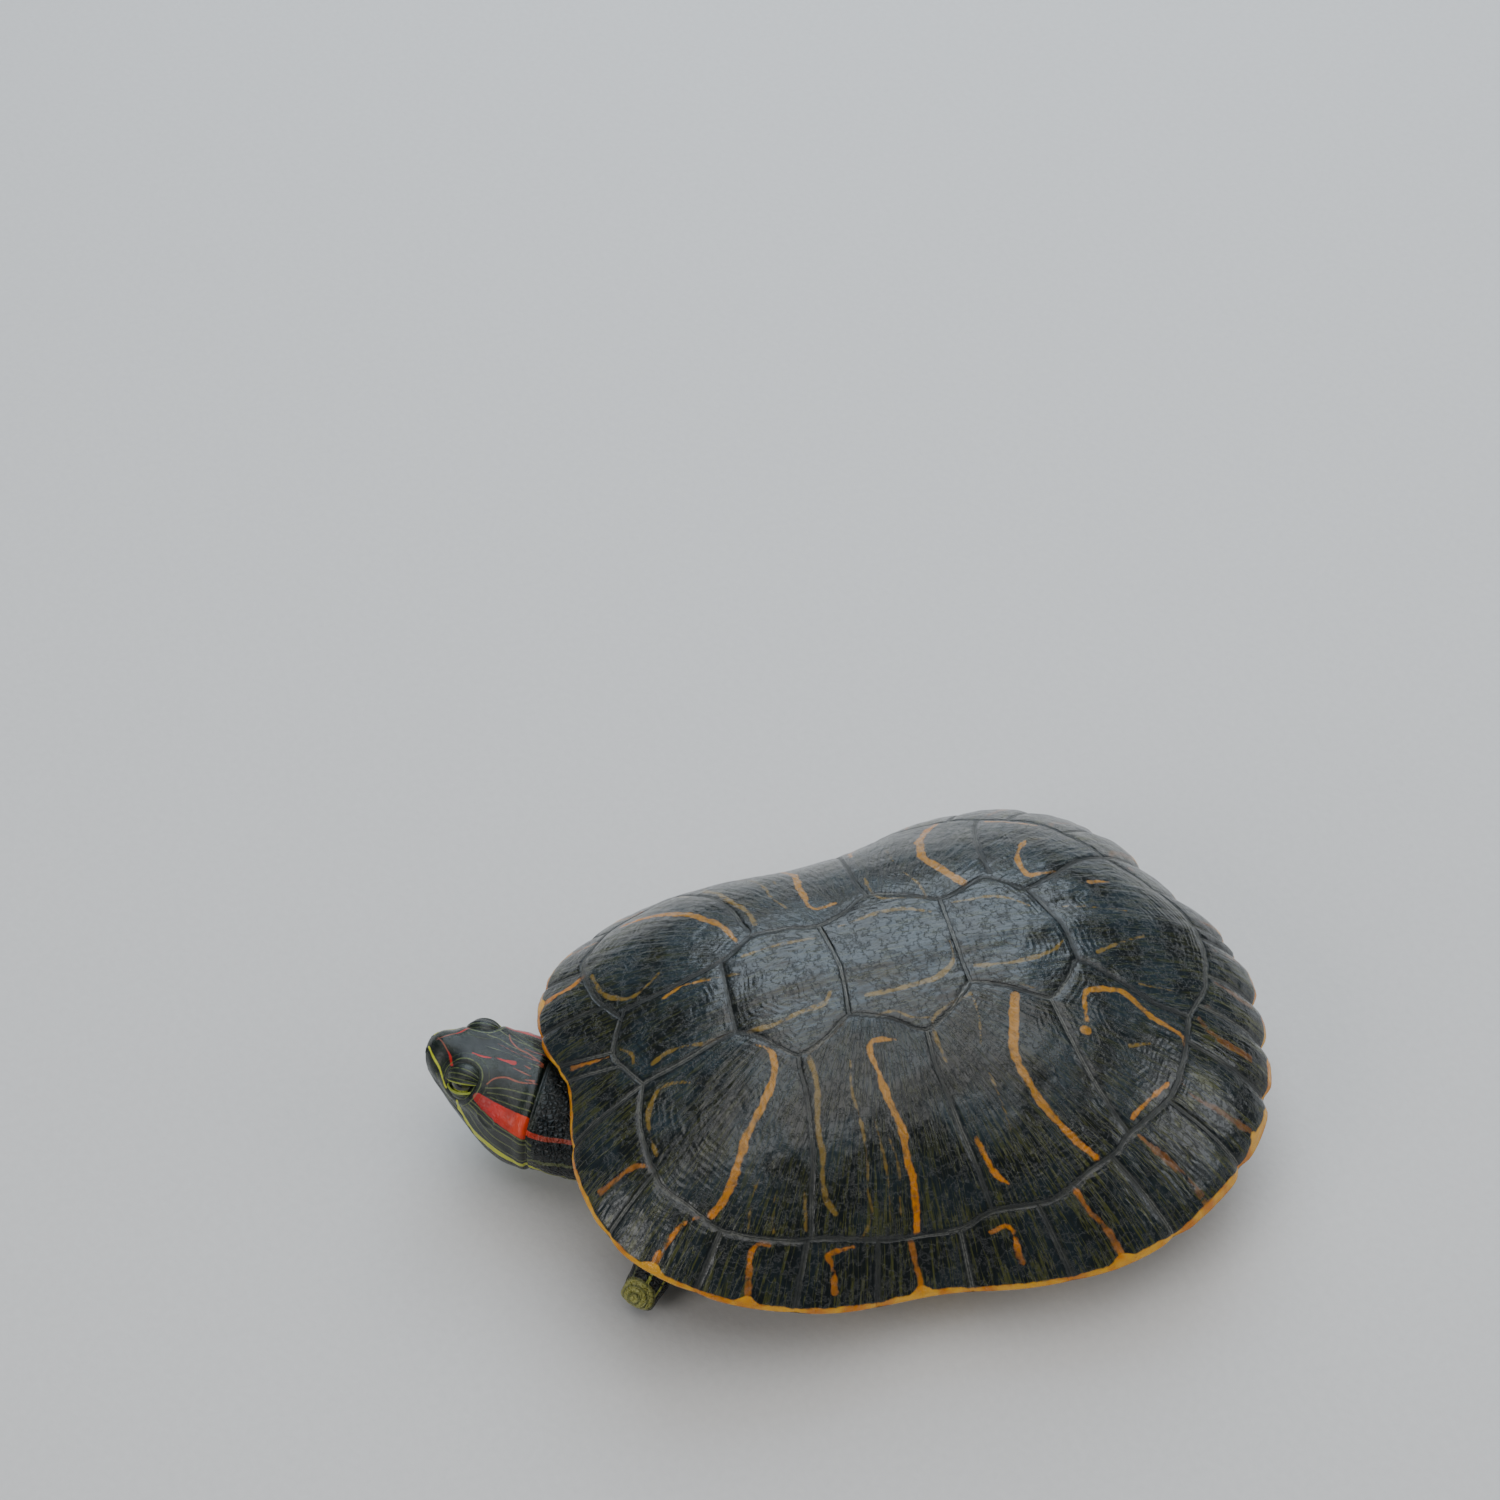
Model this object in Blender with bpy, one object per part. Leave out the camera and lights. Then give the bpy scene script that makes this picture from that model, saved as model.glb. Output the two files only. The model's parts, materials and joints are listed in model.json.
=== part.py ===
"""A red-eared slider turtle at rest on its plastron, head half out and turned to its right.

Lengths are metres, +Z is up, the snout points along -Y and the turtle's left side is +X.
Run it with: blender --background --python part.py
"""

import math

import bmesh
import bpy
import numpy as np
from mathutils import Matrix, Vector

# Driving dimensions. Shares are shares of the shell's straight length.
SHELL_LENGTH = 0.220
GAP = 0.0004  # clearance between neighbouring pieces

# The shell's plan: its centre lies this far behind the front rim, and the rim is this far
# from the centre at these angles in degrees, from the nose end round to the tail end. The
# right flank has grown a little narrower than the left.
SHELL_CENTRE = 0.430
RIM_ANGLES = (0, 15, 30, 45, 60, 90, 105, 120, 135, 150, 165, 180)
RIM_LEFT = (0.430, 0.471, 0.493, 0.470, 0.432, 0.388, 0.429, 0.486, 0.533, 0.566, 0.570, 0.569)
RIM_RIGHT = (0.430, 0.458, 0.462, 0.438, 0.420, 0.380, 0.402, 0.472, 0.533, 0.550, 0.540, 0.569)

# Heights and dome shape at the front, at the sides and at the rear.
RIM_HEIGHT = (0.217, 0.104, 0.162)
DOME_SPREAD = (2.68, 2.17, 2.77)
DOME_FLARE = (0.93, 1.00, 0.79)
CROWN_HEIGHT = 0.351
# The dome's own plan, inside the rim scutes: its reach to the front, the sides and the rear,
# how square it is, and the share of the radius where the scutes begin to flare out of it.
DOME_REACH = (0.430, 0.412, 0.569)
DOME_SQUARENESS = 2.5
FLARE_START = 0.55
KEEL_HEIGHT = 0.004

# The rim scutes: where their seams reach the rim on the left, in degrees from the nose end.
MARGINAL_SEAMS = (2.5, 10, 27, 43, 59, 74, 93, 110, 127, 142, 154, 162.5, 170, 178.5)
RIGHT_SEAM_LEAD = 5.0  # degrees by which the right rear seams sit further forward
STEPS_PER_MARGINAL = 3
NOTCH_REAR = 0.020  # depth of the nicks between the rear rim scutes
NOTCH_FRONT = 0.006

# The carapace as a bowl of bone: the rim's underside, then the hollow for the body.
UNDERSIDE_EDGE = 0.84  # share of the radius where the underside ends
BONE_THICKNESS = 0.022

# The plastron and the bridges that tie it to the carapace.
PLASTRON_CENTRE = 0.480
PLASTRON_HALF_LENGTH = 0.443
PLASTRON_HALF_WIDTH = 0.232
PLASTRON_THICKNESS = 0.0036
PLASTRON_FRONT_LIFT = 0.0026
PLASTRON_EDGE_LIFT = 0.0016
BRIDGE_START = 0.285
BRIDGE_END = 0.620
BRIDGE_THICKNESS = 0.0034

# Head, in its own frame: the axis runs back from the snout tip, level.
HEAD_LENGTH = 0.0400
HEAD_TURN = math.radians(34)  # to the turtle's right
HEAD_PITCH = math.radians(5)  # snout up
SNOUT_TIP = (-0.0375, -0.1440, 0.0345)
SNOUT_RAKE = 0.35  # how far the snout's top leads its chin, per unit of height
HEAD_BEND = 0.0045  # swing of the nape to the left, where the neck takes over
JOWL_FULLNESS = 0.15  # share that the cheeks stand out past a plain oval
# Stations as shares of the head's length, then half width, top and bottom in metres.
HEAD_STATIONS = (
    # share, half width, top, bottom
    (0.00, 0.0056, 0.0056, -0.0046),
    (0.06, 0.0080, 0.0078, -0.0066),
    (0.16, 0.0105, 0.0096, -0.0096),
    (0.30, 0.0128, 0.0104, -0.0132),
    (0.48, 0.0158, 0.0106, -0.0172),
    (0.68, 0.0182, 0.0106, -0.0208),
    (0.86, 0.0193, 0.0104, -0.0228),
    (1.00, 0.0195, 0.0104, -0.0232),
)
EYE_RADIUS = 0.0044
EYE_BACK = 0.0140  # from the snout tip to the eye, along the head
EYE_OUT = 0.0099
EYE_UP = 0.0051
LID_SWELL = 0.0022
LID_SPREAD = 0.0066

# The neck runs from the trunk, under the front rim, to the head. Stations are the middle
# of the neck, then its half width and half height.
NECK_PATH = (
    (0.0016, -0.0722, 0.0275),
    (-0.0004, -0.0885, 0.0276),
    (-0.0046, -0.1030, 0.0246),
    (-0.0107, -0.1123, 0.0250),
)
NECK_SECTIONS = ((0.0180, 0.0160), (0.0190, 0.0158), (0.0194, 0.0158), (0.0194, 0.0168))

# Left limbs, drawn in under the shell; the right ones mirror them. The wrist shows under
# the rim, and the hand is folded back beneath the arm.
FORELEG_PATH = (
    (0.0320, -0.0680, 0.0300),
    (0.0360, -0.0810, 0.0255),
    (0.0422, -0.0932, 0.0165),
    (0.0506, -0.1042, 0.0080),
)
FORELEG_SECTIONS = ((0.0095, 0.0110), (0.0085, 0.0100), (0.0070, 0.0080), (0.0054, 0.0056))
FOREFOOT_PATH = ((0.0445, -0.0885, 0.0048), (0.0438, -0.0825, 0.0048), (0.0458, -0.0765, 0.0048))
FOREFOOT_SECTIONS = ((0.0044, 0.0028), (0.0056, 0.0030), (0.0062, 0.0028))
HINDLEG_PATH = ((0.0380, 0.0560, 0.0270), (0.0440, 0.0640, 0.0220), (0.0420, 0.0715, 0.0165))
HINDLEG_SECTIONS = ((0.0090, 0.0110), (0.0088, 0.0100), (0.0080, 0.0084))
HINDFOOT_PATH = ((0.0392, 0.0800, 0.0132), (0.0350, 0.0860, 0.0118), (0.0325, 0.0915, 0.0104))
HINDFOOT_SECTIONS = ((0.0074, 0.0052), (0.0086, 0.0046), (0.0094, 0.0034))
CLAW_LENGTH = 0.0078
CLAW_RADIUS = 0.0011
CLAW_FAN = math.radians(64)  # spread of the outer claws
CLAW_DROP = math.radians(16)
FORE_CLAWS = 5
HIND_CLAWS = 4
TAIL_PATH = (
    (0.0000, 0.0630, 0.0230),
    (0.0004, 0.0780, 0.0180),
    (-0.0030, 0.0905, 0.0130),
    (-0.0095, 0.0975, 0.0088),
    (-0.0170, 0.0990, 0.0056),
)
TAIL_SECTIONS = (
    (0.0085, 0.0080),
    (0.0072, 0.0066),
    (0.0052, 0.0048),
    (0.0034, 0.0032),
    (0.0014, 0.0014),
)

TRUNK_CENTRE = (0.0, 0.48, 0.168)
TRUNK_RADII = (0.264, 0.290, 0.140)
TRUNK_FULLNESS = 0.84  # below 1 squares the trunk's cross-section, to fill the shell
TRUNK_ROOM = 0.0028  # left under the shell's hollow

COLLECTION = "red_eared_slider"

SHELL_DARK = ((0.030, 0.034, 0.026, 1.0), 0.30)
PLASTRON_YELLOW = ((0.62, 0.40, 0.09, 1.0), 0.45)
SKIN_OLIVE = ((0.050, 0.062, 0.040, 1.0), 0.50)
OLIVE = ("skin_olive", SKIN_OLIVE)
SKIN_FOOT = ((0.16, 0.17, 0.05, 1.0), 0.55)
EYE_GREEN = ((0.30, 0.33, 0.04, 1.0), 0.08)


def by_quarter(values, angle):
    """Blend a front, side and rear value by the direction from the shell's centre."""
    front, side, rear = values
    forward = np.cos(angle)
    return (
        side
        + (front - side) * np.clip(forward, 0, 1) ** 2
        + (rear - side) * np.clip(-forward, 0, 1) ** 2
    )


def smooth_step(low, high, value):
    share = np.clip((value - low) / (high - low), 0, 1)
    return share * share * (3 - 2 * share)


def through(xs, ys, x):
    """Smooth curve through stations (xs, ys), by cubic Hermite pieces."""
    xs, ys = np.asarray(xs, float), np.asarray(ys, float)
    slope = np.gradient(ys, xs)
    x = np.clip(x, xs[0], xs[-1])
    i = np.clip(np.searchsorted(xs, x, side="right") - 1, 0, len(xs) - 2)
    step = xs[i + 1] - xs[i]
    t = (x - xs[i]) / step
    return (
        ys[i] * (1 + 2 * t) * (1 - t) ** 2
        + slope[i] * step * t * (1 - t) ** 2
        + ys[i + 1] * t * t * (3 - 2 * t)
        + slope[i + 1] * step * t * t * (t - 1)
    )


def rim_radius(angle):
    """Plan radius of the rim at an angle from the nose end; positive is the left side."""
    turned = np.mod(angle + math.pi, 2 * math.pi) - math.pi
    right = [-station for station in RIM_ANGLES[:0:-1]]
    stations = [RIM_ANGLES[-2] - 360, *right, *RIM_ANGLES, 360 - RIM_ANGLES[-2]]
    radii = [RIM_LEFT[-2], *RIM_RIGHT[:0:-1], *RIM_LEFT, RIM_RIGHT[-2]]
    return through(np.radians(stations), radii, turned) * SHELL_LENGTH


def in_plan(share, angle):
    """X and Y of a point at a share of the radius."""
    radius = share * rim_radius(angle)
    y = (SHELL_CENTRE - 0.5) * SHELL_LENGTH - radius * np.cos(angle)
    return radius * np.sin(angle), y


def rim_height(angle):
    return by_quarter(RIM_HEIGHT, angle) * SHELL_LENGTH


def dome_share(share, angle):
    """Share of the way down the dome: to its plain oval at first, then to the flaring rim."""
    front, side, rear = DOME_REACH
    along = np.abs(np.cos(angle)) / np.where(np.cos(angle) > 0, front, rear)
    across = np.abs(np.sin(angle)) / side
    oval = (along**DOME_SQUARENESS + across**DOME_SQUARENESS) ** (-1 / DOME_SQUARENESS)
    rim = rim_radius(angle) / SHELL_LENGTH
    flared = smooth_step(FLARE_START, 1.0, share)
    return share * rim / (rim * flared + oval * (1 - flared))


def dome_height(share, angle):
    """Height of the shell's outer face."""
    rim = rim_height(angle)
    spread, flare = by_quarter(DOME_SPREAD, angle), by_quarter(DOME_FLARE, angle)
    rise = np.clip(1 - dome_share(share, angle) ** spread, 0, 1) ** flare
    x, _ = in_plan(share, angle)
    keel = KEEL_HEIGHT * SHELL_LENGTH * np.exp(-((x / (0.022 * SHELL_LENGTH)) ** 2))
    return rim + (CROWN_HEIGHT * SHELL_LENGTH - rim) * rise + keel * rise


def hollow_height(share, angle):
    """Height of the bowl's inner face: flat under the rim scutes, then arched."""
    rim = rim_height(angle) + 0.010 * SHELL_LENGTH * (1 - share)
    inner = np.clip(share / UNDERSIDE_EDGE, 0, 1)
    crown = (CROWN_HEIGHT - BONE_THICKNESS) * SHELL_LENGTH
    return rim + (crown - rim) * (1 - inner**2.3) * 0.985


def seam_angles():
    """Angles of the vertex columns, so that every rim seam falls on one."""
    left = np.radians(MARGINAL_SEAMS)
    lead = np.sin(np.clip((left - math.radians(120)) / math.radians(60), 0, 1) * math.pi)
    right = left - math.radians(RIGHT_SEAM_LEAD) * lead**2
    angles, at_seam = [], []
    for side, seams in ((1, left), (-1, right)):
        for first, second in zip(seams[:-1], seams[1:]):
            for step in range(STEPS_PER_MARGINAL):
                angles.append(side * (first + (second - first) * step / STEPS_PER_MARGINAL))
                at_seam.append(step == 0)
        angles.append(side * seams[-1])
        at_seam.append(False)
    order = np.argsort(angles)
    return np.array(angles)[order], np.array(at_seam)[order]


def material(name, finish):
    colour, roughness = finish
    made = bpy.data.materials.get(name)
    if made:
        return made
    made = bpy.data.materials.new(name)
    made.use_nodes = True
    shader = made.node_tree.nodes["Principled BSDF"]
    shader.inputs["Base Color"].default_value = colour
    shader.inputs["Roughness"].default_value = roughness
    shader.inputs["Metallic"].default_value = 0.0
    return made


def add_piece(name, mesh, finish_name, finish):
    """Put a finished bmesh into the collection as one named, smooth-shaded object."""
    data = bpy.data.meshes.new(name)
    mesh.to_mesh(data)
    mesh.free()
    data.shade_smooth()
    data.materials.append(material(finish_name, finish))
    piece = bpy.data.objects.new(name, data)
    bpy.data.collections[COLLECTION].objects.link(piece)
    return piece


def face_outward(mesh):
    bmesh.ops.recalc_face_normals(mesh, faces=mesh.faces)
    if mesh.calc_volume(signed=True) < 0:
        bmesh.ops.reverse_faces(mesh, faces=mesh.faces)


def moulded(columns, rows, place):
    """A closed body from a UV sphere: place(column, row) gives each vertex its position.

    Rows run from pole to pole as 0..1, and columns are whole numbers round the sphere.
    """
    mesh = bmesh.new()
    bmesh.ops.create_uvsphere(mesh, u_segments=columns, v_segments=rows, radius=1.0)
    for vertex in mesh.verts:
        x, y, z = vertex.co
        row = round(math.acos(max(-1.0, min(1.0, z))) / math.pi * rows) / rows
        column = round(math.atan2(y, x) / (2 * math.pi) * columns) % columns
        vertex.co = Vector([float(value) for value in place(column, row)])
    face_outward(mesh)
    return mesh


def carapace():
    angles, at_seam = seam_angles()
    columns = len(angles)
    top_rows, under_rows = 11, 6
    rows = top_rows + under_rows

    def place(column, row):
        angle = angles[column]
        level = round(row * rows)
        notch = 0.0
        if at_seam[column]:
            notch = by_quarter((NOTCH_FRONT, 0.0, NOTCH_REAR), angle)
        if level <= top_rows:
            share = math.sin(level / top_rows * math.pi / 2) ** 0.9
            x, y = in_plan(share * (1 - notch * share**12), angle)
            return x, y, dome_height(share, angle)
        under = (level - top_rows) / under_rows
        share = np.interp(under, (0, 0.22, 0.5, 1), (1.0, UNDERSIDE_EDGE + 0.03, 0.72, 0))
        x, y = in_plan(share * (1 - notch * share**12), angle)
        return x, y, hollow_height(share, angle)

    mesh = moulded(columns, rows, place)
    return add_piece("carapace", mesh, "shell_horn", SHELL_DARK)


def plastron_radius(angle):
    """Plan radius of the plastron: two lobes, waisted behind the front one."""
    forward, across = np.abs(np.cos(angle)), np.abs(np.sin(angle))
    power = 2.5
    oval = (forward / PLASTRON_HALF_LENGTH) ** power + (across / PLASTRON_HALF_WIDTH) ** power
    radius = oval ** (-1 / power)
    tail_notch = 0.05 * np.exp(-((np.sin(angle) / 0.10) ** 2)) * (np.cos(angle) < 0)
    return radius * (1 - tail_notch) * SHELL_LENGTH


def plastron():
    columns, rows = 40, 10
    half = rows // 2

    def place(column, row):
        angle = column / columns * 2 * math.pi
        level = round(row * rows)
        under = level >= half
        share = (rows - level) / half if under else level / half
        share = math.sin(share * math.pi / 2) ** 0.8
        radius = share * plastron_radius(angle)
        x = radius * math.sin(angle)
        y = (PLASTRON_CENTRE - 0.5) * SHELL_LENGTH - radius * math.cos(angle)
        lift = PLASTRON_FRONT_LIFT * max(math.cos(angle), 0) ** 2 + PLASTRON_EDGE_LIFT
        z = lift * smooth_step(0.70, 1.0, share)
        if level == half:
            z += PLASTRON_THICKNESS * 0.4
        elif not under:
            z += PLASTRON_THICKNESS * (1 - 0.25 * share**8)
        return x, y, z

    mesh = moulded(columns, rows, place)
    return add_piece("plastron", mesh, "plastron_horn", PLASTRON_YELLOW)


def bridge(name, side):
    """Curved wall between the plastron's side and the underside of the rim scutes."""
    mesh = bmesh.new()
    bmesh.ops.create_cube(mesh, size=2.0)
    bmesh.ops.subdivide_edges(mesh, edges=mesh.edges, cuts=4, use_grid_fill=True)
    for vertex in mesh.verts:
        along, up, depth = vertex.co
        wall = (up + 1) / 2
        centre = (BRIDGE_START + BRIDGE_END) / 2
        half = (BRIDGE_END - BRIDGE_START) / 2 * (0.86 + 0.20 * wall**2 + 0.05 * (1 - wall) ** 2)
        share_y = centre + along * half
        y = (share_y - 0.5) * SHELL_LENGTH
        angle = math.atan2(0.36, SHELL_CENTRE - share_y)
        for _ in range(6):
            _, rim_y = in_plan(0.90, angle)
            angle += (rim_y - y) / (0.36 * SHELL_LENGTH) * -1
        rim_x, _ = in_plan(0.90, angle)
        top = hollow_height(0.90, angle) - GAP - 0.0004
        plate = (share_y - PLASTRON_CENTRE) / PLASTRON_HALF_LENGTH
        foot_x = PLASTRON_HALF_WIDTH * SHELL_LENGTH * (1 - abs(plate) ** 2.5) ** (1 / 2.5)
        foot_x += GAP + 0.0002
        foot = 0.0016
        bulge = math.sin(wall * math.pi) * 0.0022
        x = foot_x + (rim_x - foot_x) * wall + bulge
        z = foot + (top - BRIDGE_THICKNESS * 0.5 - foot) * wall**1.15
        inward = (1 - depth) / 2 * BRIDGE_THICKNESS
        vertex.co = (side * (x - inward * 0.15 * wall), y, min(z + inward * 0.9, top))
    face_outward(mesh)
    return add_piece(name, mesh, "plastron_horn", PLASTRON_YELLOW)


def trunk():
    columns, rows = 20, 10
    centre_x, share_y, centre_z = TRUNK_CENTRE
    size_x, size_y, size_z = TRUNK_RADII

    def place(column, row):
        turn, tilt = column / columns * 2 * math.pi, row * math.pi
        x = (centre_x + size_x * math.cos(turn) * math.sin(tilt)) * SHELL_LENGTH
        y = (share_y - 0.5 + size_y * math.sin(turn) * math.sin(tilt)) * SHELL_LENGTH
        z = math.copysign(abs(math.cos(tilt)) ** TRUNK_FULLNESS, math.cos(tilt))
        z = (centre_z + size_z * z) * SHELL_LENGTH
        forward = (SHELL_CENTRE - 0.5) * SHELL_LENGTH - y
        angle = math.atan2(x, forward)
        share = math.hypot(x, forward) / rim_radius(angle)
        return x, y, min(z, hollow_height(share, angle) - TRUNK_ROOM)

    return add_piece("trunk", moulded(columns, rows, place), "skin_olive", SKIN_OLIVE)


def head_matrix():
    """Head frame: +Y runs back along the head, +Z is its crown, origin at the snout tip."""
    turn = Matrix.Rotation(-HEAD_TURN, 4, "Z")
    pitch = Matrix.Rotation(-HEAD_PITCH, 4, "X")
    return Matrix.Translation(SNOUT_TIP) @ turn @ pitch


def eye_centre(side):
    return Vector((side * EYE_OUT, EYE_BACK, EYE_UP))


def head():
    columns, rows = 28, 22
    shares, widths, tops, bottoms = zip(*HEAD_STATIONS)

    def place(column, row):
        level = round(row * rows)
        share = np.clip((row - 0.02) / 0.92, 0, 1) ** 1.25
        scale = 1.0
        if level <= 1:
            share, scale = 0.0, level * 0.72
        if level >= rows - 1:
            share, scale = 1.0, 0.93 * (rows - level)
        width = through(shares, widths, share) * scale
        top = through(shares, tops, share) * scale
        bottom = through(shares, bottoms, share) * scale
        angle = column / columns * 2 * math.pi
        across, up = math.cos(angle), math.sin(angle)
        jowl = 1.0
        if up < 0:
            jowl += JOWL_FULLNESS * 4 * share * (1 - share) * math.sin(2 * angle) ** 2
        x = width * jowl * math.copysign(abs(across) ** 0.88, across)
        z = (top if up > 0 else -bottom) * jowl * math.copysign(abs(up) ** 0.92, up)
        y = share * HEAD_LENGTH - (0.0008 if level == 0 else 0.0)
        y -= SNOUT_RAKE * z * (1 - share) ** 3
        x += HEAD_BEND * share**2
        point = Vector((x, y, z))
        for side in (-1, 1):
            off = (point - eye_centre(side)).length / LID_SPREAD
            point += (point - eye_centre(side)).normalized() * LID_SWELL * math.exp(-off * off)
        return point

    mesh = moulded(columns, rows, place)
    mesh.transform(head_matrix())
    piece = add_piece("head", mesh, "skin_olive", SKIN_OLIVE)
    for side, word in ((1, "left"), (-1, "right")):
        socket = bmesh.new()
        bmesh.ops.create_uvsphere(socket, u_segments=14, v_segments=8, radius=EYE_RADIUS + GAP)
        socket.transform(head_matrix() @ Matrix.Translation(eye_centre(side)))
        combine(piece, helper("socket_" + word, socket), "DIFFERENCE")
    return piece


def eye(name, side):
    mesh = bmesh.new()
    bmesh.ops.create_uvsphere(mesh, u_segments=14, v_segments=8, radius=EYE_RADIUS)
    mesh.transform(head_matrix() @ Matrix.Translation(eye_centre(side)))
    return add_piece(name, mesh, "eye_green", EYE_GREEN)


def swept(name, path, sections, side=1, columns=14, rows=8, finish=OLIVE, fullness=0.74):
    """A limb: an oval section carried along a smooth path, with rounded ends.

    path holds (x, y, z) stations and sections holds (half width, half height) at each.
    A side of -1 mirrors it to the turtle's right, and fullness is how blunt the ends are.
    """
    stations = np.linspace(0, 1, len(path))
    path, sections = np.array(path), np.array(sections)

    def centre(share):
        return np.array([through(stations, path[:, axis], share) for axis in range(3)])

    def place(column, row):
        level = round(row * rows)
        share = min(max((level - 1) / (rows - 2), 0), 1)
        closing = {0: 0.0, 1: fullness, rows - 1: fullness, rows: 0.0}.get(level, 1.0)
        ahead, behind = min(share + 0.01, 1), max(share - 0.01, 0)
        tangent = Vector(centre(ahead) - centre(behind)).normalized()
        across = tangent.cross(Vector((0, 0, 1))).normalized()
        up = across.cross(tangent)
        half_width, half_height = (through(stations, sections[:, k], share) for k in (0, 1))
        angle = column / columns * 2 * math.pi
        point = Vector(centre(share)) + across * half_width * closing * math.cos(angle)
        point += up * half_height * closing * math.sin(angle)
        dome = 0.6 * (1 - fullness) * half_height
        point += tangent * {0: -dome, rows: dome}.get(level, 0.0)
        return side * point.x, point.y, point.z

    return add_piece(name, moulded(columns, rows, place), *finish)


def helper(name, mesh):
    """A hidden shape that a Boolean modifier uses."""
    data = bpy.data.meshes.new(name)
    mesh.to_mesh(data)
    mesh.free()
    made = bpy.data.objects.new(name, data)
    bpy.data.collections["cutters"].objects.link(made)
    made.hide_render = True
    made.display_type = "WIRE"
    return made


def combine(piece, other, operation):
    change = piece.modifiers.new(other.name, "BOOLEAN")
    change.object = other
    change.operation = operation


def add_claws(foot, path, sections, side, count):
    """Join a fan of claws to the front of a foot."""
    tip, before = Vector(path[-1]), Vector(path[-2])
    forward = (tip - before).normalized()
    across = forward.cross(Vector((0, 0, 1))).normalized()
    half_width, half_height = sections[-1]
    mesh = bmesh.new()
    for number in range(count):
        share = number / (count - 1) * 2 - 1
        turn = Matrix.Rotation(-share * CLAW_FAN / 2, 3, "Z")
        heading = turn @ forward
        heading.z = -math.sin(CLAW_DROP)
        root = tip + across * share * half_width * 0.72 - forward * 0.0016
        root.z -= half_height * 0.30
        middle = root + heading.normalized() * CLAW_LENGTH / 2
        middle.x, heading.x = side * middle.x, side * heading.x
        aim = heading.to_track_quat("Z", "Y").to_matrix().to_4x4()
        bmesh.ops.create_cone(
            mesh,
            cap_ends=True,
            segments=8,
            radius1=CLAW_RADIUS,
            radius2=CLAW_RADIUS * 0.28,
            depth=CLAW_LENGTH,
            matrix=Matrix.Translation(middle) @ aim,
        )
    face_outward(mesh)
    combine(foot, helper("claws_" + foot.name, mesh), "UNION")


def limbs():
    foot_finish = ("skin_foot", SKIN_FOOT)
    for side, word in ((1, "left"), (-1, "right")):
        swept("foreleg_" + word, FORELEG_PATH, FORELEG_SECTIONS, side)
        swept("hindleg_" + word, HINDLEG_PATH, HINDLEG_SECTIONS, side)
        for kind, path, sections, claws in (
            ("forefoot_", FOREFOOT_PATH, FOREFOOT_SECTIONS, FORE_CLAWS),
            ("hindfoot_", HINDFOOT_PATH, HINDFOOT_SECTIONS, HIND_CLAWS),
        ):
            foot = swept(kind + word, path, sections, side, finish=foot_finish)
            add_claws(foot, path, sections, side, claws)


def stand_at_origin():
    """Hang every piece on one empty, whose place centres the turtle over the origin."""
    pieces = list(bpy.data.collections[COLLECTION].objects)
    corners = np.array([vertex.co for piece in pieces for vertex in piece.data.vertices])
    low, high = corners.min(axis=0), corners.max(axis=0)
    root = bpy.data.objects.new("turtle", None)
    bpy.data.collections[COLLECTION].objects.link(root)
    root.location = (-(low[0] + high[0]) / 2, -(low[1] + high[1]) / 2, -low[2])
    for piece in pieces + list(bpy.data.collections["cutters"].objects):
        piece.parent = root


def main():
    for old in list(bpy.data.objects):
        bpy.data.objects.remove(old)
    for name in (COLLECTION, "cutters"):
        bpy.context.scene.collection.children.link(bpy.data.collections.new(name))
    carapace()
    plastron()
    bridge("bridge_left", 1)
    bridge("bridge_right", -1)
    trunk()
    swept("neck", NECK_PATH, NECK_SECTIONS, columns=20, rows=12, fullness=0.95)
    head()
    eye("eye_left", 1)
    eye("eye_right", -1)
    limbs()
    swept("tail", TAIL_PATH, TAIL_SECTIONS, columns=10, rows=12)
    stand_at_origin()


main()
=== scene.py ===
"""A still, life-size red-eared slider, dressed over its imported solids.

The shell, the skin, the eyes and the claws are built here as fine surfaces on the same sizes as the
solids, in metres, and each one replaces the solids that it stands for.
"""

import json
import logging
import math
from collections.abc import Sequence
from dataclasses import dataclass
from enum import Enum
from typing import Any

import bpy
import numpy as np
from mathutils import Matrix, Vector

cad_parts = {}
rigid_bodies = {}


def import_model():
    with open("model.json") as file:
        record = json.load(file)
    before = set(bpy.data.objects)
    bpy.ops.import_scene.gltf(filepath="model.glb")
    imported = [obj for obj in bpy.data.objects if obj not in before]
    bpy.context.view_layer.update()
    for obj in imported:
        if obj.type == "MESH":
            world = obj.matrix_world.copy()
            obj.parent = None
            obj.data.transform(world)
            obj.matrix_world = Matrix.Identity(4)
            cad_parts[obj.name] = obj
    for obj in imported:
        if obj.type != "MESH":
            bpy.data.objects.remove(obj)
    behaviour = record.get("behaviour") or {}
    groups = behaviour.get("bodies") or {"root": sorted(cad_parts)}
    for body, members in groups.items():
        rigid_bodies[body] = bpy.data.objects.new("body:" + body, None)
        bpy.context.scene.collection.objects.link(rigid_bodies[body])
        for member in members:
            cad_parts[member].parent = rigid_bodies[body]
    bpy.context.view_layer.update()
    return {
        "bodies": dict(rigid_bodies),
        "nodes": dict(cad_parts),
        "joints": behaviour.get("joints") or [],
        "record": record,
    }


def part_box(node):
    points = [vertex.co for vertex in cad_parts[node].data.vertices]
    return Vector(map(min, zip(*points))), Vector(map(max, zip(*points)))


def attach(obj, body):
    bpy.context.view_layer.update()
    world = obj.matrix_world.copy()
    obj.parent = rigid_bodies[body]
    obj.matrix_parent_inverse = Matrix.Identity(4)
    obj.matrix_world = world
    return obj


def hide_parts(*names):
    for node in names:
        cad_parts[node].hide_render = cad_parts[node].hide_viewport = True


LOG = logging.getLogger("slider")
LENGTH = 0.220  # the shell's straight length
MM = 0.001
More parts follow.
